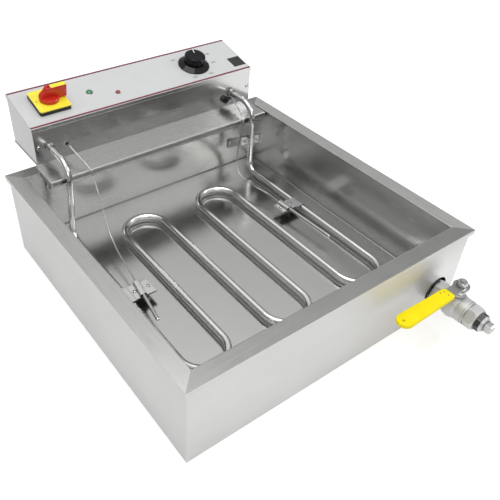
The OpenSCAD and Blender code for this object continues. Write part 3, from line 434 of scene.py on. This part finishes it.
def plastic(name, colour, roughness, grain=0.004, grain_scale=1500, coat=0.0, soft_edge=0.4, fade=0.05,
            **extra):
    """Moulded plastic: fine grain, a slight unevenness of shade and gloss. The grain's depth and the soft
    edge's radius are in millimetres. Extra sets more of the shader's own sockets."""
    shader = Shader(name, roughness=roughness, colour=colour)
    fine = shader.noise(shader.place, grain_scale, 3, 0.6)
    cloud = shader.noise(shader.place, 45, 4, 0.6)
    light = tuple(min(1, c * (1 + fade) + 0.004) for c in colour)
    dark = tuple(c * (1 - fade) for c in colour)
    shader.set("Base Color", shader.tint(shader.spread(cloud, 0, 1), dark, light))
    shader.set("Roughness", shader.maths("ADD", shader.spread(fine, roughness * 0.85, roughness * 1.15),
                                         shader.spread(cloud, -roughness * 0.12, roughness * 0.2)))
    if coat:
        shader.set("Coat Weight", coat)
        shader.set("Coat Roughness", 0.06)
    for key, value in extra.items():
        shader.set(key.replace("_", " "), value)
    shader.bump(fine, grain * MM, 0.5, soft_edge * MM)
    return shader.material


# Painted shade: faces by axis and sign, with the share of brightness each keeps
HEAD_SHADED = ((0, -1, 0.64), (0, 1, 0.8), (1, 1, 0.72))

TANK_WALL = tank_steel("tank_sheet")
CASING = sheet_steel("casing_sheet", 0.58, grey(0.69), soft_edge=1.2, walls=True,
                     polished=(DRAIN_AT, 40 * MM, 110 * MM, 0.3))
HEAD_SHEET = sheet_steel("head_sheet", 0.15, grey(0.62), smudge=0.06, lean=0.075, shaded=HEAD_SHADED)
# Highlight edges draw painted highlights along the lid's, the shelf's and the small sheets' edges.
LID_SHEET = sheet_steel("lid_sheet", 0.2, grey(0.62), soft_edge=1, lean=0.075, highlight_edge=2,
                        shaded=HEAD_SHADED)
# Painted shade: a darker front lip on the shelf, near-black undersides and fronts on the clamps and covers,
# and a painted shadow along the bracket's top and left edges.
PLATE_SHEET = sheet_steel("plate_sheet", 0.26, grey(0.58), soft_edge=3, highlight_edge=6, shaded=((1, -1, 0.5),))
SMALL_SHEET = sheet_steel("small_sheet", 0.30, grey(0.42), soft_edge=0.3, highlight_edge=0.8)
CLAMP_SHEET = sheet_steel("clamp_sheet", 0.36, grey(0.70), soft_edge=0.3,
                          shaded=((2, -1, 0.04), (1, -1, 0.1)))
COVER_SHEET = sheet_steel("cover_sheet", 0.34, grey(0.76), soft_edge=0.8,
                          shaded=((2, -1, 0.04), (1, -1, 0.06)))
BRACKET_SHEET = sheet_steel("bracket_sheet", 0.28, grey(0.78), soft_edge=0.2,
                            shaded=((2, 1, 0.02, 2.4 * MM), (0, -1, 0.03, 2.4 * MM)))
STRAP_SHEET = sheet_steel("strap_sheet", 0.42, grey(0.93), soft_edge=0.3)
TURNED = plain_metal("turned_steel", 0.36, grey(0.58), crease=4)
BRIGHT = plain_metal("bright_steel", 0.2, (0.64, 0.64, 0.63), crease=5)
DULL = plain_metal("dull_steel", 0.38, STEEL_DARK)
WELD = plain_metal("weld_metal", 0.3, (0.55, 0.54, 0.53), scale=0.6, depth=0.05, marks=0.12)
BRASS = plain_metal("brass", 0.24, (0.66, 0.50, 0.24))
CAST = cast_metal("cast_steel", 0.58, grey(0.72))
BUSHING = bushing_metal("bushing_steel")
HEATER = heater_metal("heater_sheath")
FILM = plastic("panel_film", (0.60, 0.605, 0.61), 0.42, grain=0.012, grain_scale=2600, soft_edge=0.2,
               fade=0.015)
YELLOW_PLATE = plastic("yellow_plate", (0.95, 0.84, 0.045), 0.28, coat=0.3)
YELLOW_SLEEVE = plastic("yellow_sleeve", (0.97, 0.79, 0.003), 0.34, grain=0.02, grain_scale=700,
                        Specular_IOR_Level=0.2)
RED_GRIP = plastic("red_grip", (0.62, 0.022, 0.01), 0.26, coat=0.25, soft_edge=0.8)
BLACK_BASE = plastic("black_base", (0.012, 0.012, 0.013), 0.5, grain=0.02)
BLACK_GLOSS = plastic("black_gloss", (0.003, 0.003, 0.004), 0.1, soft_edge=0.8, Specular_IOR_Level=0.28)
BLACK_KNOB = plastic("black_knob", (0.004, 0.004, 0.006), 0.22, soft_edge=0.9, Specular_IOR_Level=0.2)
BLACK_RUBBER = plastic("black_rubber", (0.003, 0.003, 0.003), 0.16, grain=0.01, Specular_IOR_Level=0.25)
GREY_CASE = plastic("grey_case", (0.03, 0.03, 0.032), 0.5, grain=0.02)
IVORY_CASE = plastic("ivory_case", (0.72, 0.69, 0.58), 0.45, grain=0.01)
WHITE_SEAT = plastic("white_seat", (0.85, 0.85, 0.82), 0.5)
GREEN_LENS = plastic("green_lens", (0.01, 0.28, 0.10), 0.12, coat=0.6, Transmission_Weight=0.25)
RED_LENS = plastic("red_lens", (0.42, 0.012, 0.012), 0.12, coat=0.6, Transmission_Weight=0.25)
INK_RED = plastic("stripe_ink", (0.17, 0.014, 0.026), 0.35, fade=0.04)
INK_DARK = plastic("dark_ink", (0.018, 0.018, 0.02), 0.38, fade=0.1)
INK_WHITE = plastic("white_ink", (0.82, 0.82, 0.8), 0.35, fade=0.02)

FINISHES = {
    "outer_casing": CASING, "inner_tank": TANK_WALL, "bottom_pan": DULL, "drain_coupling": TURNED,
    "drain_nipple": TURNED, "valve_body": CAST, "valve_end": CAST, "valve_seats": WHITE_SEAT,
    "packing_nut": BRIGHT, "reducing_bushing": BUSHING, "drain_plug": TURNED, "valve_ball": BRIGHT,
    "valve_stem": TURNED, "valve_lever": SMALL_SHEET, "lever_sleeve": YELLOW_SLEEVE, "lever_nut": BRIGHT,
    "base_plate": PLATE_SHEET, "hook_plate": PLATE_SHEET, "head_housing": HEAD_SHEET,
    "panel_lid": LID_SHEET, "panel_overlay": FILM, "housing_screws": BRIGHT, "switch_base": BLACK_BASE,
    "switch_plate": YELLOW_PLATE, "switch_contacts": GREY_CASE, "switch_handle": RED_GRIP,
    "handle_strip": YELLOW_PLATE, "lamp_bezels": BRIGHT, "green_lamp": GREEN_LENS, "red_lamp": RED_LENS,
    "thermostat_body": DULL, "thermostat_shaft": TURNED, "control_knob": BLACK_KNOB,
    "knob_skirt": BLACK_GLOSS, "limit_switch": GREY_CASE, "reset_collar": BRIGHT,
    "reset_button": BLACK_RUBBER, "contactor": GREY_CASE, "terminal_block": IVORY_CASE,
    "heating_element": HEATER, "heater_pins": TURNED, "entry_fittings": BRIGHT, "entry_nuts": BRASS,
    "capillary_grommets": BLACK_RUBBER, "thermostat_bulb": BRIGHT, "thermostat_capillary": BRIGHT,
    "limit_bulb": BRIGHT, "limit_capillary": BRIGHT, "left_clamp": CLAMP_SHEET, "right_clamp": COVER_SHEET,
    "clamp_covers": COVER_SHEET, "riser_bracket": BRACKET_SHEET, "riser_strap": STRAP_SHEET,
    "clamp_screws": BRIGHT,
}
for node_name, finish in FINISHES.items():
    slots = nodes[node_name].data.materials
    slots.clear()
    slots.append(finish)


# Mesh building

def closed_mesh(name, points, faces, place=None):
    """A mesh whose faces all look outward, moved to its place."""
    mesh = bpy.data.meshes.new(name)
    mesh.from_pydata([tuple(p) for p in points], [], faces)
    if place is not None:
        mesh.transform(place)
    work = bmesh.new()
    work.from_mesh(mesh)
    bmesh.ops.recalc_face_normals(work, faces=work.faces)
    work.to_mesh(mesh)
    work.free()
    return mesh


def make(name, part, material, body, smooth=True, place=None):
    """A mesh piece in the object's frame that rides on a body, with its material."""
    mesh = closed_mesh(name, *part, place)
    piece = link(name, mesh)
    mesh.polygons.foreach_set("use_smooth", [smooth] * len(mesh.polygons))
    if smooth:
        mesh.set_sharp_from_angle(angle=math.radians(38))
    mesh.materials.append(material)
    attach(piece, body)
    return piece


def joined(parts):
    """Several point and face lists as one."""
    points, faces = [], []
    for some_points, some_faces in parts:
        start = len(points)
        points += [Vector(p) for p in some_points]
        faces += [tuple(start + i for i in face) for face in some_faces]
    return points, faces


def moved(part, place):
    """A part with its points taken to another place."""
    return [place @ Vector(p) for p in part[0]], part[1]


def lathe(profile, segments=48):
    """Turns an outline of (radius, height) points, from the axis back to the axis, round Z."""
    count = len(profile)
    points = []
    for i in range(segments):
        angle = 2 * math.pi * i / segments
        points += [(r * math.cos(angle), r * math.sin(angle), z) for r, z in profile]
    faces = []
    for i in range(segments):
        a, b = i * count, (i + 1) % segments * count
        for k in range(count - 1):
            faces.append((a + k, b + k, b + k + 1, a + k + 1))
    return points, faces


def slab(outline, low, high):
    """A flat piece with that outline between two heights."""
    count = len(outline)
    points = [(x, y, low) for x, y in outline] + [(x, y, high) for x, y in outline]
    faces = [tuple(range(count - 1, -1, -1)), tuple(range(count, 2 * count))]
    faces += [(i, (i + 1) % count, count + (i + 1) % count, count + i) for i in range(count)]
    return points, faces


def rounded_outline(x0, y0, x1, y1, radius, steps=6):
    """A rectangle's outline with round corners."""
    outline = []
    for cx, cy, start in ((x1 - radius, y1 - radius, 0), (x0 + radius, y1 - radius, 90),
                          (x0 + radius, y0 + radius, 180), (x1 - radius, y0 + radius, 270)):
        for i in range(steps + 1):
            angle = math.radians(start + 90 * i / steps)
            outline.append((cx + radius * math.cos(angle), cy + radius * math.sin(angle)))
    return outline


def tube(path, radius, sides=16):
    """A round tube along a line of points, closed at both ends, with one radius or one for each point."""
    radii = radius if isinstance(radius, list) else [radius] * len(path)
    points, faces = [], []
    side = None
    for i, here in enumerate(path):
        ahead = (path[min(i + 1, len(path) - 1)] - path[max(i - 1, 0)]).normalized()
        side = ahead.orthogonal() if side is None else side - ahead * side.dot(ahead)
        side.normalize()
        up = ahead.cross(side)
        for k in range(sides):
            angle = 2 * math.pi * k / sides
            points.append(here + radii[i] * (side * math.cos(angle) + up * math.sin(angle)))
    for i in range(len(path) - 1):
        for k in range(sides):
            m = (k + 1) % sides
            faces.append((i * sides + k, i * sides + m, (i + 1) * sides + m, (i + 1) * sides + k))
    faces.append(tuple(range(sides - 1, -1, -1)))
    last = (len(path) - 1) * sides
    faces.append(tuple(range(last, last + sides)))
    return points, faces


def smooth_line(points, steps):
    """The Catmull-Rom line through the inner points of a list."""
    line = []
    for a, b, c, d in zip(points, points[1:], points[2:], points[3:]):
        for k in range(steps):
            t = k / steps
            line.append(0.5 * (2 * b + (c - a) * t + (2 * a - 5 * b + 4 * c - d) * t * t
                               + (3 * b - a - 3 * c + d) * t ** 3))
    return line + [points[-2]]


def taken(made):
    """The points and faces of an object as its modifiers leave it."""
    mesh = made.evaluated_get(bpy.context.evaluated_depsgraph_get()).to_mesh()
    return [v.co.copy() for v in mesh.vertices], [tuple(f.vertices) for f in mesh.polygons]


def cut(part, cutters):
    """A part with other closed parts taken out of it."""
    objects = [link("cut", closed_mesh("cut", *one)) for one in [part] + cutters]
    for cutter in objects[1:]:
        step = objects[0].modifiers.new("cut", "BOOLEAN")
        step.operation = "DIFFERENCE"
        step.solver = "EXACT"
        step.object = cutter
    result = taken(objects[0])
    for made in objects:
        bpy.data.objects.remove(made)
    return result


def block(x0, y0, z0, x1, y1, z1):
    """A plain block to cut with."""
    return slab([(x0, y0), (x1, y0), (x1, y1), (x0, y1)], z0, z1)


CAPITAL_SHARE = 0.7


def written(text, height):
    """Plain figures as thin flat pieces, centred on the origin."""
    curve = bpy.data.curves.new("figures", "FONT")
    curve.body = text
    curve.size = height / CAPITAL_SHARE
    curve.align_x = "CENTER"
    curve.align_y = "CENTER"
    curve.extrude = 0.02 * MM
    made = link("figures", curve)
    result = taken(made)
    bpy.data.objects.remove(made)
    return result


def on_panel(x, w, h=0.0, turn=0.0):
    """A place on the panel: local Z is the panel's outward normal and Y runs up the slope."""
    tilt = Matrix.Translation((0, HEAD_Y, PANEL_Z)) @ Matrix.Rotation(PANEL_TILT, 4, "X")
    return tilt @ Matrix.Translation((x, w, h)) @ Matrix.Rotation(turn, 4, "Z")


# Printing: two stripes, a plain dark square and the thermostat's figures on the panel, 0 and 1 at the switch.
# Each of the dial's figures has its angle in degrees and its distance from the knob's middle in millimetres.

INK_RISE = 0.05 * MM
STRIPE_WIDTH = 4.2 * MM
STRIPE_INSET = 0.9 * MM
DIAL_FIGURES = (("200", 24, 56), ("250", -10, 48), ("300", -64, 45), ("350", -118, 43.5), ("400", 138, 47))
TICK_ANGLES = (74, 24, 7, -10, -37, -64, -91, -118, -144, -170, 164, 138)
LONG_TICKS = (74, 24, -10, -64, -118, 138)
TICK_START = 36.6 * MM
SWITCH_FIGURE_REACH = 26 * MM


def build_panel_print():
    for name, low in (("front_stripe", 1.3 * MM), ("rear_stripe", PANEL_LENGTH - 1.6 * MM - STRIPE_WIDTH)):
        outline = rounded_outline(HEAD_X0 + STRIPE_INSET, low, HEAD_X1 - STRIPE_INSET, low + STRIPE_WIDTH,
                                  0.4 * MM)
        make(name, slab(outline, 0, INK_RISE), INK_RED, "head", smooth=False,
             place=on_panel(0, 0))
    square = rounded_outline(245 * MM, 15.5 * MM, 276.5 * MM, 47.5 * MM, 1.2 * MM)
    make("dark_square", slab(square, 0, INK_RISE), INK_DARK, "head", smooth=False,
         place=on_panel(0, 0))

    parts = []
    for figures, degrees, radius in DIAL_FIGURES:
        angle = math.radians(degrees)
        x = KNOB_AT[0] + radius * MM * math.cos(angle)
        w = KNOB_AT[1] + radius * MM * math.sin(angle)
        parts.append(moved(written(figures, 5 * MM), on_panel(x, w, INK_RISE / 2)))
    for degrees in TICK_ANGLES:
        place = on_panel(*KNOB_AT, turn=math.radians(degrees))
        reach = (39.5 if degrees in LONG_TICKS else 38) * MM
        tick = rounded_outline(TICK_START, -0.3 * MM, reach, 0.3 * MM, 0.2 * MM, 3)
        parts.append(moved(slab(tick, 0, INK_RISE), place))
    make("dial_figures", joined(parts), INK_DARK, "head", smooth=False)

    x, w = SWITCH_AT
    parts = [moved(written(figure, 4.8 * MM), on_panel(*at, SWITCH_TOP + INK_RISE / 2))
             for figure, at in (("0", (x - SWITCH_FIGURE_REACH, w)), ("1", (x, w + SWITCH_FIGURE_REACH)))]
    make("switch_figures", joined(parts), INK_DARK, "head", smooth=False)


# Knob pointer, and the screw down in the red grip

SKIRT_TOP = 7.8 * MM


def build_knob_pointer():
    """A white line over the cap's top and down its side, along its outline of (radius, height) in
    millimetres."""
    outline = [(7, 18.2), (18, 18.2), (20.6, 17.3), (22.4, 15.6), (23.0, 13.2), (22.8, 11.2), (22.1, 5.0)]
    rim_from = 5
    lift = 0.12 * MM
    points, faces = [], []
    for i, (r, z) in enumerate(outline):
        half = (0.95 if i < rim_from else 0.8) * MM
        ahead = Vector(outline[min(i + 1, len(outline) - 1)]) - Vector(outline[max(i - 1, 0)])
        normal = Vector((ahead.y, -ahead.x)).normalized()
        for rise in (-lift, lift):
            y = r * MM + normal.x * rise
            h = SKIRT_TOP + z * MM + normal.y * rise
            points += [(-half, y, h), (half, y, h)]
    for i in range(len(outline) - 1):
        a, b = 4 * i, 4 * (i + 1)
        faces += [(a + 2, a + 3, b + 3, b + 2), (a, b, b + 1, a + 1), (a, a + 2, b + 2, b),
                  (a + 1, b + 1, b + 3, a + 3)]
    last = len(points) - 4
    faces += [(0, 1, 3, 2), (last, last + 2, last + 3, last + 1)]
    make("knob_pointer", (points, faces), INK_WHITE, "thermostat_knob", smooth=False,
         place=on_panel(*KNOB_AT, turn=math.radians(-16)))


def cross_cutters(size, width, low, high):
    """Two blocks that cut a cross slot."""
    half = width / 2
    return [block(-size, -half, low, size, half, high), block(-half, -size, low, half, size, high)]


def build_grip_screw():
    head = lathe([(0, 0), (2.35 * MM, 0), (2.35 * MM, 1.2 * MM), (1.9 * MM, 1.8 * MM), (1.0 * MM, 2.05 * MM),
                  (0, 2.1 * MM)], 32)
    slotted = cut(head, cross_cutters(1.5 * MM, 0.55 * MM, 1.0 * MM, 4 * MM))
    place = on_panel(SWITCH_AT[0] - 1.0 * MM, SWITCH_AT[1], 32.05 * MM)
    make("grip_screw", slotted, DULL, "power_switch", place=place)


# Slotted screws of the clamps and the bracket, the clamps' pressed covers and the smooth capillaries.
# A screw head's outline is (radius, height), and a ridge's is (across, height), in millimetres.

SCREW_RADIUS = 1.97 * MM
NUT_CORNER = 4.04 * MM
NUT_HEIGHT = 3 * MM
PAN_HEAD = ((0, 0), (3.6, 0), (3.6, 0.9), (3.2, 1.6), (2.3, 2.15), (1.1, 2.38), (0, 2.4))


def slotted_screw(grip):
    """A pan head on a shank with its nut, the head's seat at height 0."""
    head = lathe([(r * MM, z * MM) for r, z in PAN_HEAD], 32)
    head = cut(head, [block(-5 * MM, -0.45 * MM, 1.3 * MM, 5 * MM, 0.45 * MM, 4 * MM)])
    shank = threaded(SCREW_RADIUS, 0.28 * MM, 0.7 * MM, -grip - NUT_HEIGHT - 1 * MM, 0, 24)
    turns = [math.radians(60 * i) for i in range(6)]
    hexagon = [(NUT_CORNER * math.cos(turn), NUT_CORNER * math.sin(turn)) for turn in turns]
    return joined([head, shank, slab(hexagon, -grip - NUT_HEIGHT, -grip)])


ROWS_PER_TURN = 6


def threaded(radius, depth, pitch, low, high, around):
    """A screw thread from height low to high: a round bar whose skin waves in and out along a helix."""
    rows = round((high - low) / pitch * ROWS_PER_TURN)
    points, faces = [], []
    for i in range(rows + 1):
        z = low + (high - low) * i / rows
        fade = min(1, i / 4, (rows - i) / 4)
        for k in range(around):
            turn = (z / pitch - k / around) % 1
            wave = abs(2 * turn - 1)
            r = radius - depth * wave * fade - depth * (1 - fade) * 0.5
            angle = 2 * math.pi * k / around
            points.append((r * math.cos(angle), r * math.sin(angle), z))
    for i in range(rows):
        for k in range(around):
            m = (k + 1) % around
            faces.append((i * around + k, i * around + m, (i + 1) * around + m, (i + 1) * around + k))
    faces.append(tuple(range(around - 1, -1, -1)))
    faces.append(tuple(range(rows * around, (rows + 1) * around)))
    return points, faces


def clamp_middle(bulb, turn, y):
    """The clamp's middle in plan, where its bulb's axis crosses y."""
    return (bulb[0] - (bulb[1] - y) * math.tan(math.radians(turn))) * MM, y * MM


LEFT_CLAMP = clamp_middle(LEFT_BULB, LEFT_TURN, 3)
RIGHT_CLAMP = clamp_middle(RIGHT_BULB, RIGHT_TURN, 50.5)
RIDGE_HALF = ((6.9, 0), (6.2, 0.3), (4.6, 5.6), (3.9, 6.3))
RIDGE_SKIN = ((7.4, 1.2), (6.9, 1.7), (6.0, 5.9), (5.3, 6.9), (4.2, 7.3))
RIDGE_REACH = 7.5


def pressed_cover(middle, turn, left, right, length):
    """A flat cover with a pressed ridge that runs over the bulb, open at both ends."""
    x, y = middle
    ridge = [(-left, 0), *((-u, z) for u, z in RIDGE_HALF), *reversed(RIDGE_HALF), (right, 0),
             (right, 1.2), *RIDGE_SKIN, *((-u, z) for u, z in reversed(RIDGE_SKIN)), (-left, 1.2)]
    count = len(ridge)
    points = []
    for end in (-length / 2, length / 2):
        shift = end * math.tan(math.radians(turn))
        for u, z in ridge:
            across = u if abs(u) > RIDGE_REACH else u + shift
            points.append((x + across * MM, y + end * MM, CLAMP_TOP - SHEET + z * MM))
    faces = [(i, (i + 1) % count, count + (i + 1) % count, count + i) for i in range(count)]
    faces += [(i, i + 1, count - 2 - i, count - 1 - i) for i in range(count // 2 - 1)]
    faces += [(count + i, 2 * count - 1 - i, 2 * count - 2 - i, count + i + 1) for i in range(count // 2 - 1)]
    return points, faces


def build_clamp_covers():
    covers = joined([pressed_cover(LEFT_CLAMP, LEFT_TURN, 17, 24, 37),
                     pressed_cover(RIGHT_CLAMP, RIGHT_TURN, 16, 22, 30)])
    piece = make("pressed_covers", covers, COVER_SHEET, "head")
    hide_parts("clamp_covers")


def build_clamp_screws():
    """Two screws through each clamp and three in the riser's bracket, each slot at its own angle."""
    parts = []
    for (x, y), along, turn in ((LEFT_CLAMP, -11, 20), (LEFT_CLAMP, 17, 75), (RIGHT_CLAMP, -10, 140),
                                (RIGHT_CLAMP, 16, 50)):
        place = Matrix.Translation((x + along * MM, y, CLAMP_TOP))
        turned = Matrix.Rotation(math.radians(turn), 4, "Z")
        parts.append(moved(slotted_screw(2 * SHEET), place @ turned))
    riser = Matrix.Translation((225 * MM, 219.15 * MM, 121 * MM)) @ Matrix.Rotation(math.radians(-15), 4, "Z")
    front = 6.55 * MM
    plate = 1.5 * MM
    strap_front = front - SHEET
    both = plate + SHEET
    for x, y, grip, turn in ((-49, front, plate, 30), (-14, strap_front, both, 80),
                             (15, strap_front, both, -35)):
        place = riser @ Matrix.Translation((x * MM, y, 0)) @ Matrix.Rotation(math.radians(90), 4, "X")
        parts.append(moved(slotted_screw(grip), place @ Matrix.Rotation(math.radians(turn), 4, "Z")))
    piece = make("slotted_screws", joined(parts), BRIGHT, "head")
    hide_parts("clamp_screws")


def bulb_tail(bulb, turn):
    """The capillary's last three points, along its bulb's axis and into it."""
    angle = math.radians(turn)
    height = 60.05
    return [(bulb[0] + back * math.sin(angle), bulb[1] + back * math.cos(angle), height)
            for back in (30, 0.2, -10)]


def build_capillaries():
    """Each capillary, from inside the head over the shelf's edge and down to its bulb, in millimetres."""
    shelf_front = 231
    shelf = 176
    wall = HEAD_Y / MM

    def leaving(x, z):
        return [(x, wall + ahead, z) for ahead in (30, 20, 3, -4, -12)]

    def past_shelf(x, rows):
        return [(x + across, shelf_front + ahead, height) for across, ahead, height in rows]

    left_hang = ((4, 32, shelf + 16), (8, 9, shelf + 8), (9.5, -4, shelf + 1), (10, -11, shelf - 12),
                 (6, -40, 130), (3, -62, 98), (-1, -84, 78), (-8, -128, 65))
    right_hang = ((-8, 30, shelf + 12), (-15, 9, shelf + 8), (-19, -4, shelf + 1), (-23, -9, shelf - 13),
                  (-31, -12, 138), (-42, -19, 104), (-50, -32, 78), (-52, -54, 67), (-47, -96, 63))
    left = leaving(-174.6, shelf + 26.4) + past_shelf(-174.6, left_hang) + bulb_tail(LEFT_BULB, LEFT_TURN)
    right = leaving(223.5, shelf + 16.3) + past_shelf(223.5, right_hang) + bulb_tail(RIGHT_BULB, RIGHT_TURN)
    for name, line in (("thermostat_capillary", left), ("limit_capillary", right)):
        path = smooth_line([Vector(p) * MM for p in line], 12)
        piece = make(name + "_tube", tube(path, 1.25 * MM), BRIGHT, "head")
        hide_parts(name)


# Drain: the pipe's real thread, the plug's thread, and the dots on the handle's sleeve

def along_drain(s):
    """Local Z runs forward along the drain from the outer wall's face."""
    x, y, z = DRAIN_AT
    return Matrix.Translation((x, y - s, z)) @ Matrix.Rotation(math.radians(90), 4, "X")


def build_drain_details():
    bar = threaded(16.65 * MM, 1.1 * MM, 2.2 * MM, -15 * MM, 17 * MM, 72)
    bore = lathe([(0, -20 * MM), (PORT_RADIUS, -20 * MM), (PORT_RADIUS, 25 * MM), (0, 25 * MM)])
    piece = make("nipple_thread", cut(bar, [bore]), TURNED, "tank", place=along_drain(0))
    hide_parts("drain_nipple")

    seat, step, top = 109 * MM, 119 * MM, 122 * MM
    shank = threaded(10.2 * MM, 0.9 * MM, 1.8 * MM, 96 * MM, seat, 60)
    side = 8 * MM
    square = rounded_outline(-side, -side, side, side, 1.5 * MM)
    taper = [(x * 0.88, y * 0.88) for x, y in square]
    count = len(taper)
    crown = ([(x, y, step) for x, y in square] + [(x, y, top) for x, y in taper],
             [(i, (i + 1) % count, count + (i + 1) % count, count + i) for i in range(count)]
             + [tuple(range(count, 2 * count))])
    plug = joined([shank, slab(square, seat, step), crown])
    piece = make("plug_turned", plug, TURNED, "drain_plug", place=along_drain(0))
    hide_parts("drain_plug")

    sleeve_top = Matrix.Translation((DRAIN_AT[0], -343 * MM, 103.5 * MM))
    dot = lathe([(0, 0), (1.2 * MM, 0), (1.05 * MM, 0.12 * MM), (0, 0.16 * MM)], 20)
    dots = [moved(dot, sleeve_top @ Matrix.Translation((x * MM, y * MM, 0)))
            for x, y in ((-42, 5.5), (-42, -4), (-50, 7))]
    make("sleeve_dots", joined(dots), INK_DARK, "drain_lever")


# Welds: beads at the rim's inner corners, down the well's corners and round the drain coupling

def bead(path, radius, seed):
    """A weld bead: a tube whose thickness ripples along its length."""
    radii = [radius * (1 + 0.14 * math.sin(1.9 * i + seed) + 0.07 * math.sin(4.3 * i + 2 * seed))
             for i in range(len(path))]
    return tube(path, radii, 10)


def build_welds():
    parts = []
    for sx in (-1, 1):
        for sy in (-1, 1):
            corner = Vector((sx * WELL_HALF, sy * WELL_HALF, RIM_Z - 0.6 * MM))
            inward = Vector((-sx, -sy, 0)).normalized()
            path = [corner - inward * (1.5 - 0.45 * i) * MM for i in range(8)]
            parts.append(bead(path, 1.1 * MM, sx + 2 * sy))
            seam = WELL_HALF - 0.1 * MM
            upright = [Vector((sx * seam, sy * seam, z * MM)) for z in range(43, 172, 3)]
            parts.append(bead(upright, 0.55 * MM, sx + 3 * sy))
    coupling = Vector((DRAIN_AT[0], -278.7 * MM, DRAIN_AT[2]))
    radius = 21.4 * MM
    steps = 72
    ring = []
    for i in range(steps + 1):
        angle = 2 * math.pi * i / steps
        ring.append(coupling + Vector((radius * math.cos(angle), 0, radius * math.sin(angle))))
    parts.append(bead(ring, 1.5 * MM, 1))
    make("weld_beads", joined(parts), WELD, "tank")


build_panel_print()
build_knob_pointer()
build_grip_screw()
build_clamp_covers()
build_clamp_screws()
build_capillaries()
build_drain_details()
build_welds()


# Stage: a pale floor, a sky that is brightest overhead and in front, and three soft lamps

FLOOR_HALF = 8.0
FLOOR_Z = -0.5 * MM
SKY_SEEN = 0.97


def build_floor():
    """The floor glows a little where the camera or a shiny part sees it, so it stays pale in the picture."""
    mesh = bpy.data.meshes.new("floor")
    corners = ((-1, -1), (1, -1), (1, 1), (-1, 1))
    mesh.from_pydata([(x * FLOOR_HALF, y * FLOOR_HALF, FLOOR_Z) for x, y in corners], [], [(0, 1, 2, 3)])
    floor = link("floor", mesh)
    shader = Shader("floor", roughness=0.9, colour=(0.87, 0.87, 0.87))
    path = shader.add("ShaderNodeLightPath").outputs
    seen = shader.maths("MAXIMUM", path["Is Camera Ray"], path["Is Glossy Ray"])
    seen = shader.maths("MAXIMUM", seen, path["Is Transmission Ray"])
    shader.set("Emission Color", (1, 1, 1, 1))
    glow = shader.maths("ADD", shader.product(seen, 0.22), shader.product(path["Is Camera Ray"], 0.2))
    shader.set("Emission Strength", glow)
    shader.set("Specular IOR Level", 0.0)
    mesh.materials.append(shader.material)


def build_world():
    """A studio sky: brightest in front and overhead, dimmer behind the object, low down and at the sides.
    The camera itself sees it as an even pale backdrop."""
    world = bpy.data.worlds.new("studio")
    bpy.context.scene.world = world
    world.use_nodes = True
    tree = world.node_tree
    place = tree.nodes.new("ShaderNodeTexCoord").outputs["Generated"]
    parts = tree.nodes.new("ShaderNodeSeparateXYZ")
    tree.links.new(place, parts.inputs[0])

    def ranged(value, start, end, low, high):
        made = tree.nodes.new("ShaderNodeMapRange")
        made.interpolation_type = "SMOOTHSTEP"
        tree.links.new(value, made.inputs["Value"])
        for key, number in (("From Min", start), ("From Max", end), ("To Min", low), ("To Max", high)):
            made.inputs[key].default_value = number
        return made.outputs["Result"]

    def combined(operation, a, b):
        made = tree.nodes.new("ShaderNodeMath")
        made.operation = operation
        for socket, value in zip(made.inputs, (a, b)):
            if isinstance(value, bpy.types.NodeSocket):
                tree.links.new(value, socket)
            else:
                socket.default_value = value
        return made.outputs[0]

    across, along, climb = parts.outputs
    rear = combined("ADD", ranged(climb, 0.2, 0.5, 0.38, 0.54), ranged(climb, 0.55, 0.95, 0.0, 0.38))
    front = ranged(climb, 0.40, 0.56, 0.30, 0.98)
    share = ranged(along, -0.35, 0.15, 1.0, 0.0)
    level = combined("ADD", combined("MULTIPLY", front, share),
                     combined("MULTIPLY", rear, combined("SUBTRACT", 1.0, share)))
    level = combined("MULTIPLY", level, ranged(across, -0.75, -0.3, 0.62, 1.0))
    level = combined("MULTIPLY", level, ranged(across, 0.35, 0.8, 1.0, 0.8))
    path = tree.nodes.new("ShaderNodeLightPath")
    shown = tree.nodes.new("ShaderNodeMix")
    tree.links.new(path.outputs["Is Camera Ray"], shown.inputs[0])
    tree.links.new(level, shown.inputs[2])
    shown.inputs[3].default_value = SKY_SEEN
    sky = tree.nodes["Background"].inputs
    sky["Color"].default_value = (1, 1, 1, 1)
    tree.links.new(shown.outputs[0], sky["Strength"])


def soft_lamp(name, place, target, size, power):
    data = bpy.data.lights.new(name, "AREA")
    data.shape = "RECTANGLE"
    data.size, data.size_y = size
    data.energy = power
    lamp = link(name, data)
    lamp.location = place
    lamp.rotation_euler = (Vector(target) - Vector(place)).to_track_quat("-Z", "Y").to_euler()


bpy.context.scene.view_settings.view_transform = "Standard"
build_floor()
build_world()
soft_lamp("overhead", (-0.2, 0.1, 2.2), (0, 0, 0.1), (1.3, 1.3), 15)
soft_lamp("front_fill", (-1.0, -2.4, 1.7), (0, 0, 0.1), (1.2, 0.8), 8)
soft_lamp("right_glint", (1.75, -0.8, 1.4), (0.1, 0.2, 0.2), (0.5, 0.5), 7)
